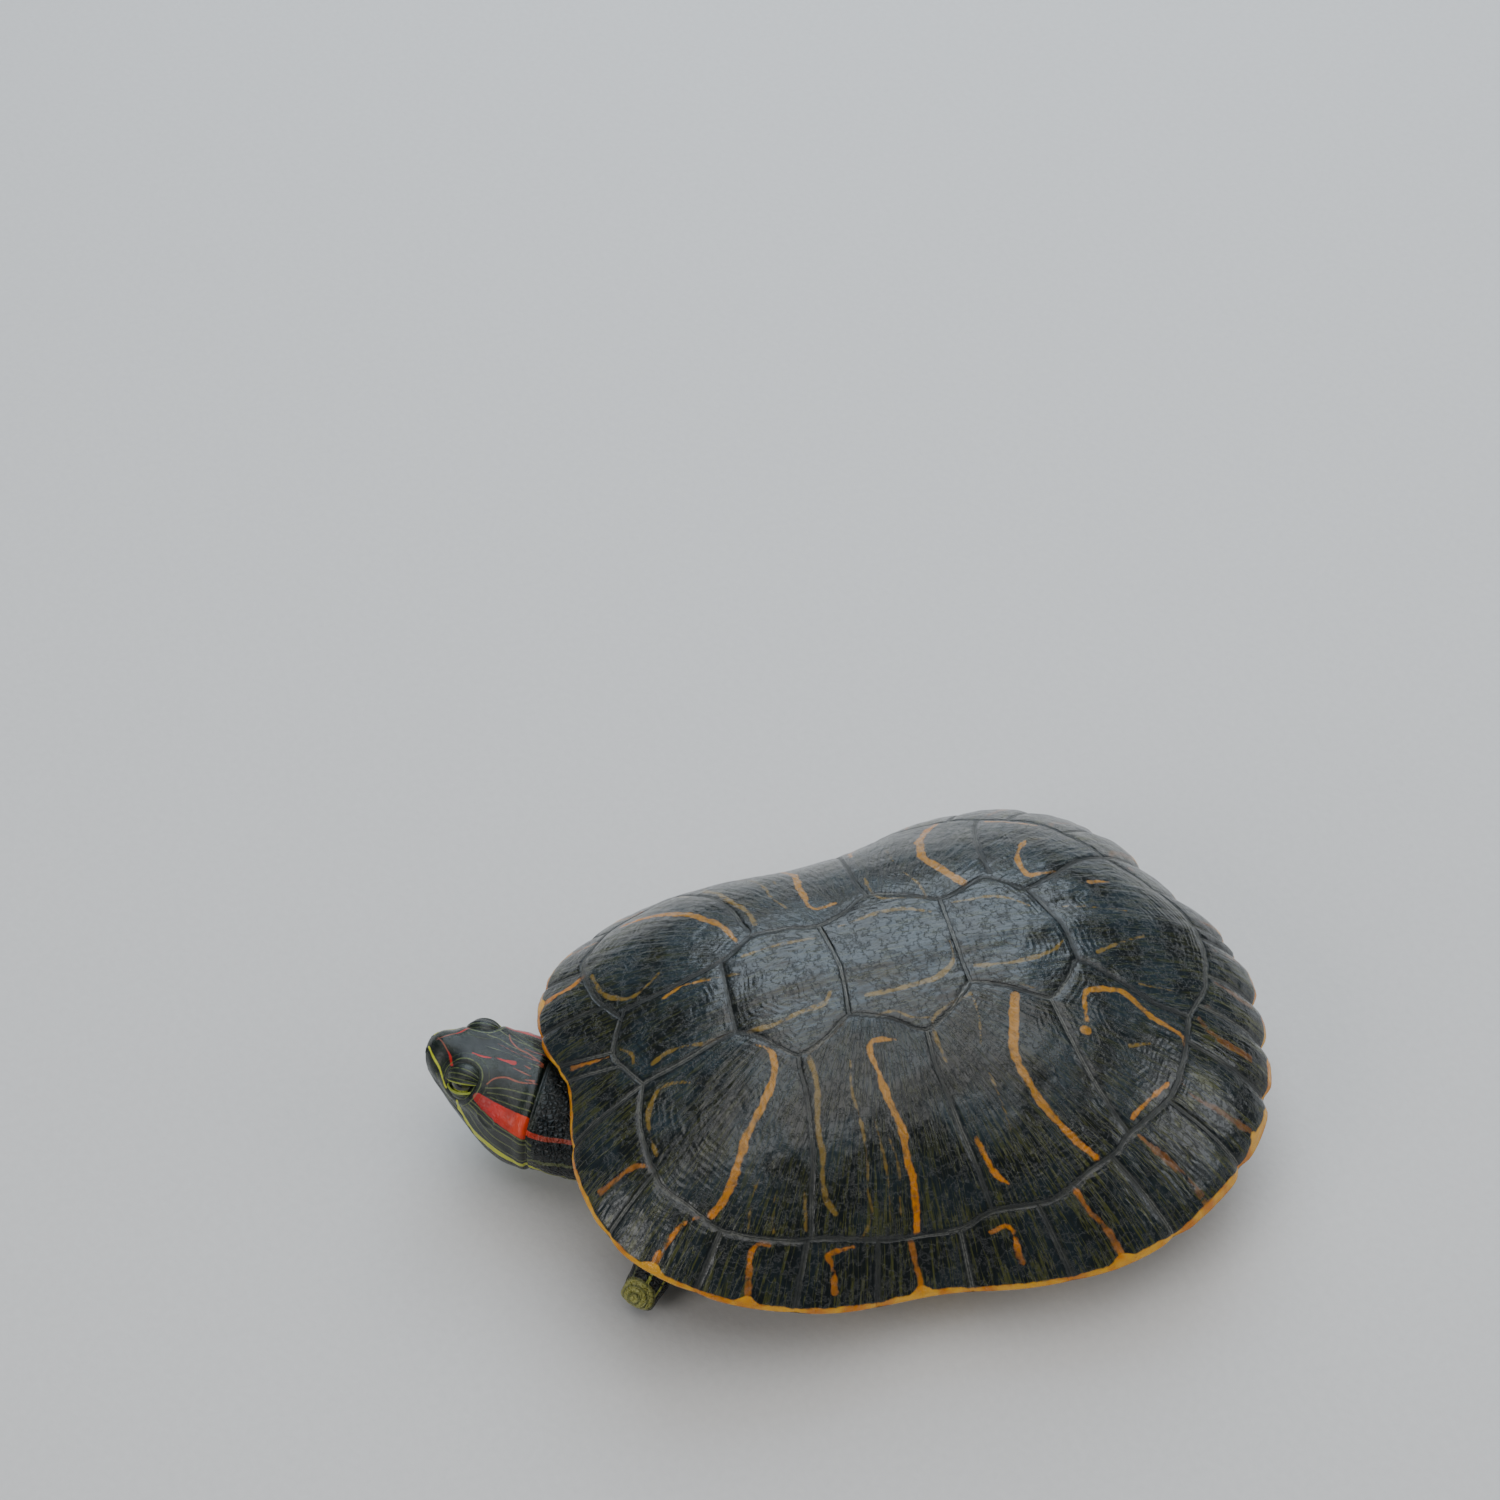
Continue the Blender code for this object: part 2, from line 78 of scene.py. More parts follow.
UNPAINTED = -20.0  # what a marking's layer holds, in millimetres, where nothing is painted
RING_STEP = 2.3  # millimetres from one growth ring to the next
Grid = np.ndarray
Line = Sequence[tuple[float, ...]]
Triple = tuple[float, float, float]
Piece = bpy.types.Object
Material = bpy.types.Material
Socket = bpy.types.NodeSocket


class Side(Enum):
    """Which flank of the turtle a piece is on; the value is the sign of its x."""

    LEFT = 1
    RIGHT = -1

    @property
    def word(self) -> str:
        """The side's name as the solids spell it."""
        return self.name.lower()


class Tone(Enum):
    """The markings that a stroke may paint, named for the mesh attribute that carries them."""

    ORANGE = "bar_orange"
    PALE = "bar_pale"
    YELLOW = "stripe_yellow"
    THIN = "stripe_thin"
    RED = "stripe_red"
    PINK = "stripe_pink"
    GROOVE = "groove"


@dataclass(frozen=True)
class Stroke:
    """One painted line on a surface.

    Attributes:
        tone: the marking that it paints.
        points: its course, in the surface's own two coordinates.
        half: its half widths in millimetres, spread evenly along it.
        paired: whether the other side of the head has it too.
        until: the run along the head at which it is cut off.
    """

    tone: Tone
    points: Line
    half: tuple[float, ...]
    paired: bool = True
    until: float = 9.0

    def halves(self, count: int) -> Grid:
        """Return the half widths at count even steps along the line."""
        return np.interp(np.linspace(0, 1, count), np.linspace(0, 1, len(self.half)), self.half)


# ---------------------------------------------------------------- small numeric helpers


def by_quarter(values: Sequence[float], angle: Grid) -> Grid:
    """Blend front, side and rear values round the shell.

    Args:
        values: the value at the nose end, at the flank and at the tail end.
        angle: the angle from the nose end, in radians.

    Returns:
        The blended value at each angle.
    """
    front, side, rear = values
    forward = np.cos(angle)
    ahead = (front - side) * np.clip(forward, 0, 1) ** 2
    return side + ahead + (rear - side) * np.clip(-forward, 0, 1) ** 2


def smooth_step(low: float, high: float, value: Grid) -> Grid:
    """Return 0 below low, 1 above high and an eased climb between them."""
    share = np.clip((value - low) / (high - low), 0, 1)
    return share * share * (3 - 2 * share)


def bell(value: Grid, width: float) -> Grid:
    """Return 1 at 0, falling to 1/e at width on either side."""
    return np.exp(-((value / width) ** 2))


def through(xs: Sequence[float], ys: Sequence[float], x: Grid) -> Grid:
    """Return a smooth curve through the stations (xs, ys), read at x."""
    xs, ys = np.asarray(xs, float), np.asarray(ys, float)
    slopes = np.gradient(ys, xs)
    cell = np.clip(np.searchsorted(xs, x) - 1, 0, len(xs) - 2)
    wide = xs[cell + 1] - xs[cell]
    t = np.clip((x - xs[cell]) / wide, 0, 1)
    start = ys[cell] * (2 * t**3 - 3 * t**2 + 1) + slopes[cell] * wide * (t**3 - 2 * t**2 + t)
    return start + ys[cell + 1] * (3 * t**2 - 2 * t**3) + slopes[cell + 1] * wide * (t**3 - t**2)


def lumps(points: Grid, size: float, seed: int) -> Grid:
    """Return soft seeded unevenness, about -1 to 1, whose lumps are size metres across."""
    rng = np.random.default_rng(seed)
    total = np.zeros(points.shape[:-1])
    for _ in range(7):
        way = rng.normal(size=3)
        way *= math.tau / size / np.linalg.norm(way) * rng.uniform(0.6, 1.3)
        total += np.sin(points @ way + rng.uniform(0, math.tau))
    return total / 3.2


def finer(line: Grid, steps: int = 4) -> Grid:
    """Return a line's columns rounded through its points, with steps pieces for each gap."""
    stations = np.arange(len(line), dtype=float)
    at = np.linspace(0, len(line) - 1, (len(line) - 1) * steps + 1)
    if len(line) < 3:
        return np.stack([np.interp(at, stations, line[:, k]) for k in range(line.shape[1])], -1)
    return np.stack([through(stations, line[:, k], at) for k in range(line.shape[1])], -1)


def margin(points: Grid, line: Grid, half: Grid, reach: float = 0.006) -> Grid:
    """Measure how far inside a painted line each point lies.

    Args:
        points: the surface points, any shape ending in 3.
        line: the line's points.
        half: the line's half width at each of its points, in millimetres.
        reach: how far from the line's box a point is still measured, in metres.

    Returns:
        Half width minus distance, in millimetres, and -20 far away.
    """
    flat = points.reshape(-1, 3)
    best = np.full(len(flat), UNPAINTED)
    near = np.all((flat > line.min(0) - reach) & (flat < line.max(0) + reach), axis=1)
    spots = flat[near]
    found = np.full(len(spots), UNPAINTED)
    for start, end, low, high in zip(line[:-1], line[1:], half[:-1], half[1:]):
        way = end - start
        t = np.clip((spots - start) @ way / max(way @ way, 1e-12), 0, 1)
        gap = np.linalg.norm(spots - start - t[:, None] * way, axis=1) / MM
        found = np.maximum(found, low + (high - low) * t - gap)
    best[near] = found
    return best.reshape(points.shape[:-1])


def distance(points: Grid, line: Grid, reach: float = 0.006) -> Grid:
    """Return the distance to a line in millimetres, and at most 20 beyond its reach."""
    return -margin(points, line, np.zeros(len(line)), reach)


def ring_angles(columns: int) -> Grid:
    """Return the angles of a ring's columns, as one row."""
    return np.linspace(0, math.tau, columns, endpoint=False)[None, :]


def along(path: Line, share: Grid) -> tuple[Grid, Grid]:
    """Return a smooth path's points and unit headings at these shares of it."""
    at, spots = np.linspace(0, 1, len(path)), np.array(path)

    def centre(t: Grid) -> Grid:
        return np.stack([through(at, spots[:, k], t) for k in range(3)], -1)

    ahead = centre(np.minimum(share + 0.01, 1)) - centre(np.maximum(share - 0.01, 0))
    return centre(share), ahead / np.linalg.norm(ahead, axis=-1, keepdims=True)


def half_sizes(sections: Line, share: Grid) -> list[Grid]:
    """Return an oval's half width and half height at these shares, ready to scale vectors."""
    at, size = np.linspace(0, 1, len(sections)), np.array(sections)
    return [through(at, size[:, k], share)[..., None] for k in range(2)]


def skin_layers(shape: tuple[int, ...], run: Any, pebbles: Any, arc: Any) -> dict[str, Grid]:
    """Return the skin's layers with nothing painted.

    Args:
        shape: the layers' shape.
        run: how far back from the snout the skin is, 0 to 2.1.
        pebbles: how pebbled the skin is, 0 to 1.
        arc: how far it is from the slit between the lids, in wrinkles.

    Returns:
        The layers by name.
    """
    layers = {tone.value: np.full(shape, UNPAINTED) for tone in Tone}
    layers["knob"] = np.full(shape, UNPAINTED)
    for name, value in (("run", run), ("pebbles", pebbles), ("arc", arc)):
        layers[name] = value + np.zeros(shape)
    return layers


def inside(x: Grid, y: Grid, ring: Grid) -> Grid:
    """Return True where (x, y) lies within the closed ring of plan points."""
    odd = np.zeros(x.shape, bool)
    for (x1, y1), (x2, y2) in zip(ring, np.roll(ring, -1, axis=0)):
        crosses = (y1 > y) != (y2 > y)
        odd ^= crosses & (x < (x2 - x1) * (y - y1) / (y2 - y1 + 1e-12) + x1)
    return odd


def normals(points: Grid) -> Grid:
    """Return unit normals of a grid of points whose columns close on themselves."""
    down = np.gradient(points, axis=0)
    round_ = (np.roll(points, -1, axis=1) - np.roll(points, 1, axis=1)) / 2
    made = np.cross(round_, down)
    made /= np.maximum(np.linalg.norm(made, axis=-1, keepdims=True), 1e-12)
    middle = points.reshape(-1, 3).mean(0)
    sign = np.sign(np.sum(made * (points - middle)))
    return made * sign


# ---------------------------------------------------------------- modelling bench


class Bench:
    """Adds primitives, moves their points and joins pieces, one selected piece at a time."""

    @staticmethod
    def only(*pieces: Piece) -> None:
        """Select these pieces and nothing else, with the first one active."""
        bpy.ops.object.select_all(action="DESELECT")
        for piece in pieces:
            piece.select_set(True)
        bpy.context.view_layer.objects.active = pieces[0]

    @staticmethod
    def set_points(piece: Piece, points: Grid) -> None:
        """Move the piece's vertices to points, and turn its faces outward."""
        piece.data.vertices.foreach_set("co", points.astype(np.float32).ravel())
        piece.data.update()
        corners = np.empty(len(piece.data.loops), np.int32)
        piece.data.loops.foreach_get("vertex_index", corners)
        starts = np.empty(len(piece.data.polygons), np.int32)
        piece.data.polygons.foreach_get("loop_start", starts)
        a, b, c = (points[corners[starts + k]] for k in range(3))
        if np.einsum("ij,ij->", a - points.mean(0), np.cross(b - a, c - a)) < 0:
            Bench.only(piece)
            bpy.ops.object.mode_set(mode="EDIT")
            bpy.ops.mesh.select_all(action="SELECT")
            bpy.ops.mesh.flip_normals()
            bpy.ops.object.mode_set(mode="OBJECT")
        piece.data.shade_smooth()

    @staticmethod
    def moulded(name: str, grid: Grid, layers: dict[str, Grid] | None = None) -> Piece:
        """Add a sphere and mould it to a grid of points.

        Args:
            name: the piece's name.
            grid: points as (rows + 1, columns, 3); the first and last rows are the poles.
            layers: values to keep on the vertices, by attribute name, on the same grid.

        Returns:
            The closed, smooth-shaded piece.
        """
        rows, columns = grid.shape[0] - 1, grid.shape[1]
        bpy.ops.object.select_all(action="DESELECT")
        bpy.ops.mesh.primitive_uv_sphere_add(
            segments=columns, ring_count=rows, radius=1.0, calc_uvs=False
        )
        piece = bpy.context.object
        piece.name = name
        piece.data.name = name
        co = np.empty(len(piece.data.vertices) * 3, np.float32)
        piece.data.vertices.foreach_get("co", co)
        x, y, z = co.reshape(-1, 3).astype(float).T
        row = np.rint(np.arccos(np.clip(z, -1, 1)) / math.pi * rows).astype(int)
        column = np.rint(np.arctan2(y, x) / math.tau * columns).astype(int) % columns
        for pole in (0, rows):
            grid[pole] = grid[pole].mean(0)
        Bench.set_points(piece, grid[row, column])
        for layer, values in (layers or {}).items():
            Bench.layer(piece, layer, values[row, column])
        return piece

    @staticmethod
    def layer(piece: Piece, name: str, values: Grid) -> None:
        """Keep one number on each vertex, for the material to read."""
        kept = piece.data.attributes.new(name, "FLOAT", "POINT")
        kept.data.foreach_set("value", np.asarray(values, np.float32).ravel())

    @staticmethod
    def points(piece: Piece) -> Grid:
        """Return the piece's vertices as an array of rows."""
        co = np.empty(len(piece.data.vertices) * 3, np.float32)
        piece.data.vertices.foreach_get("co", co)
        return co.reshape(-1, 3).astype(float)

    @staticmethod
    def joined(name: str, pieces: Sequence[Piece]) -> Piece:
        """Join the pieces into the first one and give it the name."""
        Bench.only(*pieces)
        bpy.ops.object.join()
        piece = bpy.context.object
        piece.name = name
        piece.data.name = name
        return piece

    @staticmethod
    def dress(piece: Piece, finish: Material, slot: str) -> None:
        """Give the piece its material, let it ride on the body, and report it."""
        piece.data.materials.clear()
        piece.data.materials.append(finish)
        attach(piece, "root")
        LOG.info("%s: %d faces in %s", piece.name, len(piece.data.polygons), finish.name)


# ---------------------------------------------------------------- shader bench


class Value:
    """A number that varies over a surface. Sums on it add Math nodes."""

    def __init__(self, graph: "Graph", socket: Socket) -> None:
        """Wrap an output socket of the graph."""
        self.graph = graph
        self.socket = socket

    def _sum(self, operation: str, *terms: Any) -> "Value":
        """Return a Math node's result on the terms, in their order."""
        values = {k: getattr(term, "socket", term) for k, term in enumerate(terms)}
        made = self.graph.node("ShaderNodeMath", {"operation": operation}, values)
        return Value(self.graph, made.outputs[0])

    def __add__(self, other: Any) -> "Value":
        """Return self + other."""
        return self._sum("ADD", self, other)

    def __radd__(self, other: Any) -> "Value":
        """Return other + self."""
        return self._sum("ADD", other, self)

    def __sub__(self, other: Any) -> "Value":
        """Return self - other."""
        return self._sum("SUBTRACT", self, other)

    def __rsub__(self, other: Any) -> "Value":
        """Return other - self."""
        return self._sum("SUBTRACT", other, self)

    def __mul__(self, other: Any) -> "Value":
        """Return self * other."""
        return self._sum("MULTIPLY", self, other)

    def __abs__(self) -> "Value":
        """Return the size of self without its sign."""
        return self._sum("ABSOLUTE", self)

    def least(self, other: Any) -> "Value":
        """Return the smaller of self and other."""
        return self._sum("MINIMUM", self, other)

    def wave(self) -> "Value":
        """Return the sine of self."""
        return self._sum("SINE", self)

    def rise(self, low: float, high: float) -> "Value":
        """Return an eased 0 to 1 as self goes from low to high, or from high down to low."""
        fall = low > high
        ends = {"From Min": min(low, high), "From Max": max(low, high)}
        ends |= {"To Min": 1.0 if fall else 0.0, "To Max": 0.0 if fall else 1.0}
        made = self.graph.node(
            "ShaderNodeMapRange",
            {"interpolation_type": "SMOOTHSTEP"},
            {"Value": self.socket, **ends},
        )
        return Value(self.graph, made.outputs[0])


Colour = Any


class Graph:
    """The node graph of one finish."""

    def __init__(self, name: str) -> None:
        """Start an empty material of this name."""
        self.material = bpy.data.materials.new(name)
        self.material.use_nodes = True
        self.tree = self.material.node_tree
        self.tree.nodes.clear()
        self.place = self.node("ShaderNodeTexCoord", {}, {}).outputs["Object"]

    def node(self, kind: str, settings: dict[str, Any], values: dict[Any, Any]) -> bpy.types.Node:
        """Add one node.

        Args:
            kind: the node's type.
            settings: its own settings, which are set first.
            values: what its input sockets hold, a constant, a Value or a socket, by name or number.

        Returns:
            The node.
        """
        made = self.tree.nodes.new(kind)
        for name, setting in settings.items():
            setattr(made, name, setting)
        for name, value in values.items():
            value = getattr(value, "socket", value)
            if isinstance(value, Socket):
                self.tree.links.new(value, made.inputs[name])
            else:
                made.inputs[name].default_value = value
        return made

    def layer(self, name: str) -> Value:
        """Return a mesh attribute as a value."""
        made = self.node("ShaderNodeAttribute", {"attribute_name": name}, {})
        return Value(self, made.outputs["Fac"])

    def noise(self, scale: float, detail: float = 3.0, at: Any = None, rough: float = 0.5) -> Value:
        """Return cloudy noise with scale lumps to the metre, about 0.5 on average."""
        values = {"Vector": at or self.place, "Scale": scale, "Detail": detail, "Roughness": rough}
        return Value(self, self.node("ShaderNodeTexNoise", {}, values).outputs["Fac"])

    def cells(self, scale: float, feature: str = "DISTANCE_TO_EDGE") -> Value:
        """Return the distance to the edges, or centres, of scattered cells."""
        values = {"Vector": self.place, "Scale": scale}
        made = self.node("ShaderNodeTexVoronoi", {"feature": feature}, values)
        return Value(self, made.outputs["Distance"])

    def place_of(self, x: Any, y: Any, z: Any = 0.0) -> Socket:
        """Return three values as one vector."""
        made = self.node("ShaderNodeCombineXYZ", {}, {"X": x, "Y": y, "Z": z})
        return made.outputs[0]

    def mix(self, low: Colour, high: Colour, share: Any) -> Socket:
        """Return the colour low where share is 0 and high where it is 1."""
        low, high = (c if isinstance(c, Socket) else (*c, 1.0) for c in (low, high))
        made = self.node("ShaderNodeMix", {"data_type": "RGBA"}, {0: share, 6: low, 7: high})
        return made.outputs[2]

    def finish(
        self,
        colour: Colour,
        roughness: Any,
        height: Value | None = None,
        depth: float = 0.3,
        coat: float = 0.0,
        coat_roughness: float = 0.1,
        specular: float = 0.5,
    ) -> Material:
        """Close the graph with one surface shader.

        Args:
            colour: the base colour.
            roughness: the roughness, a number or a value.
            height: the relief in millimetres, read as bump.
            depth: the strength of the bump.
            coat: how wet the surface is, 0 to 1.
            coat_roughness: how soft the wet sheen is.
            specular: the level of the plain reflection.

        Returns:
            The material.
        """
        values: dict[str, Any] = {
            "Base Color": colour if isinstance(colour, Socket) else (*colour, 1.0),
            "Roughness": roughness,
            "Coat Weight": coat,
            "Coat Roughness": coat_roughness,
            "Specular IOR Level": specular,
        }
        if height is not None:
            bump = {"Strength": depth, "Distance": MM, "Height": height}
            values["Normal"] = self.node("ShaderNodeBump", {}, bump).outputs[0]
        shader = self.node("ShaderNodeBsdfPrincipled", {}, values)
        self.node("ShaderNodeOutputMaterial", {}, {"Surface": shader.outputs[0]})
        return self.material


# ---------------------------------------------------------------- the shell's own form


@dataclass(frozen=True)
class ShellForm:
    """The shell's surface, in shares of the shell's length, with y 0 at half its length."""

    offset: Vector
    centre: float = 0.430
    rim_angles: tuple[float, ...] = (0, 15, 30, 45, 60, 90, 105, 120, 135, 150, 165, 180)
    rim_left: tuple[float, ...] = (
        0.430, 0.471, 0.493, 0.470, 0.432, 0.388, 0.429, 0.486, 0.533, 0.566, 0.570, 0.569,
    )  # fmt: skip
    rim_right: tuple[float, ...] = (
        0.430, 0.458, 0.462, 0.438, 0.420, 0.380, 0.402, 0.472, 0.533, 0.550, 0.540, 0.569,
    )  # fmt: skip
    rim_rise: Triple = (0.217, 0.104, 0.162)
    spread: Triple = (2.68, 2.17, 2.77)
    flare: Triple = (0.93, 1.00, 0.79)
    crown: float = 0.351
    reach: Triple = (0.430, 0.412, 0.569)
    squareness: float = 2.5
    flare_start: float = 0.55
    keel: float = 0.004
    keel_width: float = 0.022
    underside_edge: float = 0.84
    underside_rise: float = 0.010
    hollow_power: float = 2.3
    hollow_fill: float = 0.985
    bone: float = 0.022

    def rim_radius(self, angle: Grid) -> Grid:
        """Return the plan radius of the rim, in metres."""
        turned = np.mod(angle + math.pi, math.tau) - math.pi
        angles, left, right = self.rim_angles, self.rim_left, self.rim_right
        mirrored = [-station for station in angles[:0:-1]]
        stations = [angles[-2] - 360, *mirrored, *angles, 360 - angles[-2]]
        radii = [left[-2], *right[:0:-1], *left, right[-2]]
        return through(np.radians(stations), radii, turned) * LENGTH

    def in_plan(self, share: Grid, angle: Grid) -> tuple[Grid, Grid]:
        """Return x and y at a share of the rim's radius."""
        radius = share * self.rim_radius(angle)
        return radius * np.sin(angle), (self.centre - 0.5) * LENGTH - radius * np.cos(angle)

    def at(self, x: Grid, y: Grid) -> tuple[Grid, Grid]:
        """Return the share of the rim's radius and the angle of a plan point."""
        forward = (self.centre - 0.5) * LENGTH - y
        angle = np.arctan2(x, forward)
        return np.hypot(x, forward) / self.rim_radius(angle), angle

    def dome_share(self, share: Grid, angle: Grid) -> Grid:
        """Return how far down the dome a point is, 0 at the crown and 1 at the rim."""
        front, side, rear = self.reach
        along = np.abs(np.cos(angle)) / np.where(np.cos(angle) > 0, front, rear)
        across = np.abs(np.sin(angle)) / side
        oval = (along**self.squareness + across**self.squareness) ** (-1 / self.squareness)
        rim = self.rim_radius(angle) / LENGTH
        flared = smooth_step(self.flare_start, 1.0, share)
        return share * rim / (rim * flared + oval * (1 - flared))

    def dome(self, share: Grid, angle: Grid) -> Grid:
        """Return the height of the shell's top, in metres."""
        rim = by_quarter(self.rim_rise, angle) * LENGTH
        spread, flare = by_quarter(self.spread, angle), by_quarter(self.flare, angle)
        rise = np.clip(1 - self.dome_share(share, angle) ** spread, 0, 1) ** flare
        x, _ = self.in_plan(share, angle)
        keel = self.keel * LENGTH * bell(x, self.keel_width * LENGTH)
        return rim + (self.crown * LENGTH - rim) * rise + keel * rise

    def hollow(self, share: Grid, angle: Grid) -> Grid:
        """Return the height of the shell's underside, in metres."""
        rim = by_quarter(self.rim_rise, angle) * LENGTH
        rim = rim + self.underside_rise * LENGTH * (1 - share)
        inner = np.clip(share / self.underside_edge, 0, 1)
        rise = (1 - inner**self.hollow_power) * self.hollow_fill
        return rim + ((self.crown - self.bone) * LENGTH - rim) * rise

    def on_dome(self, line: Line) -> Grid:
        """Return points of the dome under (across, along) shares, as x, y, z rows."""
        plan = np.array(line, float)
        x, y = plan[:, 0] * LENGTH, (plan[:, 1] - 0.5) * LENGTH
        share, angle = self.at(x, y)
        return np.stack([x, y, self.dome(np.minimum(share, 1), angle)], -1)


def mirrored(line: Line) -> list[tuple[float, ...]]:
    """Return the line on the other flank."""
    return [(-across, *rest) for across, *rest in line]


@dataclass
class Carapace:
    """The domed top shell: scutes, growth rings and orange bars on one closed surface."""

    form: ShellForm
    columns: int = 560
    top_rows: int = 150
    under_rows: int = 13
    notch: Triple = (0.006, 0.0, 0.020)
    front_seams: tuple[float, ...] = (-14.5, -6.9, -3.0, 10.5)
    neck_plate_lean: float = math.radians(32)
    rim_seams: tuple[float, ...] = (27, 43, 59, 74, 93, 110, 127, 142, 154, 162.5, 170, 178.5)
    right_lead: float = 5.0
    brush: float = 0.66
    lip: Line = ((0.9975, -0.10), (0.9995, -0.40), (1.0, -0.75), (0.9985, -1.05), (0.994, -1.25))
    spine_left: Line = (
        (0.061, 0.089), (0.058, 0.150), (0.050, 0.224), (0.084, 0.262), (0.114, 0.292),
        (0.099, 0.340), (0.078, 0.375), (0.096, 0.428), (0.125, 0.470), (0.100, 0.520),
        (0.073, 0.551), (0.094, 0.605), (0.119, 0.651), (0.090, 0.690), (0.065, 0.713),
        (0.100, 0.756), (0.139, 0.799), (0.157, 0.846),
    )  # fmt: skip
    spine_right: Line = (
        (-0.066, 0.098), (-0.064, 0.160), (-0.072, 0.239), (-0.088, 0.270), (-0.101, 0.295),
        (-0.096, 0.340), (-0.085, 0.385), (-0.104, 0.430), (-0.128, 0.468), (-0.104, 0.522),
        (-0.082, 0.562), (-0.094, 0.600), (-0.110, 0.638), (-0.092, 0.668), (-0.075, 0.690),
        (-0.104, 0.748), (-0.139, 0.799), (-0.157, 0.846),
    )  # fmt: skip
    front_edge: Line = ((0.061, 0.089), (0.019, 0.073), (-0.010, 0.066), (-0.066, 0.098))
    rear_edge: Line = (
        (0.157, 0.846), (0.106, 0.894), (0.034, 0.924), (-0.034, 0.924), (-0.106, 0.894),
        (-0.157, 0.846),
    )  # fmt: skip
    spine_crossings: tuple[Line, ...] = (
        ((0.050, 0.224), (0.000, 0.229), (-0.072, 0.239)),
        ((0.078, 0.375), (0.000, 0.388), (-0.085, 0.385)),
        ((0.073, 0.551), (0.000, 0.554), (-0.082, 0.562)),
        ((0.065, 0.713), (0.000, 0.713), (-0.075, 0.690)),
    )
    flank_crossings: tuple[Line, ...] = (
        ((0.114, 0.292), (0.134, 0.288), (0.173, 0.286), (0.236, 0.273), (0.273, 0.260),
         (0.314, 0.247)),
        ((0.125, 0.470), (0.167, 0.467), (0.212, 0.472), (0.253, 0.478), (0.280, 0.484),
         (0.311, 0.490), (0.336, 0.494)),
        ((0.119, 0.651), (0.170, 0.657), (0.217, 0.668), (0.261, 0.684), (0.300, 0.703)),
    )  # fmt: skip
    margin_line: Line = (
        (0.061, 0.089), (0.118, 0.069), (0.201, 0.072), (0.237, 0.099), (0.277, 0.132),
        (0.300, 0.180), (0.314, 0.228), (0.318, 0.262), (0.332, 0.350), (0.340, 0.447),
        (0.336, 0.494), (0.346, 0.575), (0.328, 0.634), (0.315, 0.678), (0.298, 0.703),
        (0.264, 0.776), (0.215, 0.815), (0.157, 0.846),
    )  # fmt: skip

    def seam_degrees(self) -> Grid:
        """Return the angles of the rim's seams, all round, in order."""
        left = np.array(self.rim_seams)
        lead = np.sin(np.clip((left - 120) / 60, 0, 1) * math.pi)
        right = -(left - self.right_lead * lead**2)
        return np.sort(np.concatenate([self.front_seams, left, right]))

    def column_angles(self) -> Grid:
        """Return the columns' angles, one on each rim seam and closer together beside it."""
        seams = self.seam_degrees()
        gaps = np.diff(np.append(seams, seams[0] + 360))
        counts = np.maximum(4, np.rint(gaps / 360 * self.columns)).astype(int)
        counts[np.argmax(counts)] += self.columns - counts.sum()
        angles = []
        for start, gap, count in zip(seams, gaps, counts):
            u = np.arange(count) / count
            angles.append(start + gap * (u - 0.30 * np.sin(math.tau * u) / math.tau))
        return np.radians(np.concatenate(angles))

    def row_shares(self, angles: Grid) -> Grid:
        """Return shares of the rim's radius that space the top's rows evenly down the flank."""
        fine = np.linspace(0, 1, 800)[:, None]
        some = angles[None, ::20]
        x, y = self.form.in_plan(fine, some)
        spots = np.stack([x, y, self.form.dome(fine, some)], -1)
        run = np.linalg.norm(np.diff(spots, axis=0), axis=-1).mean(1).cumsum()
        run = np.concatenate([[0], run]) / run[-1]
        return np.interp(np.linspace(0, 1, self.top_rows + 1), run, fine[:, 0])

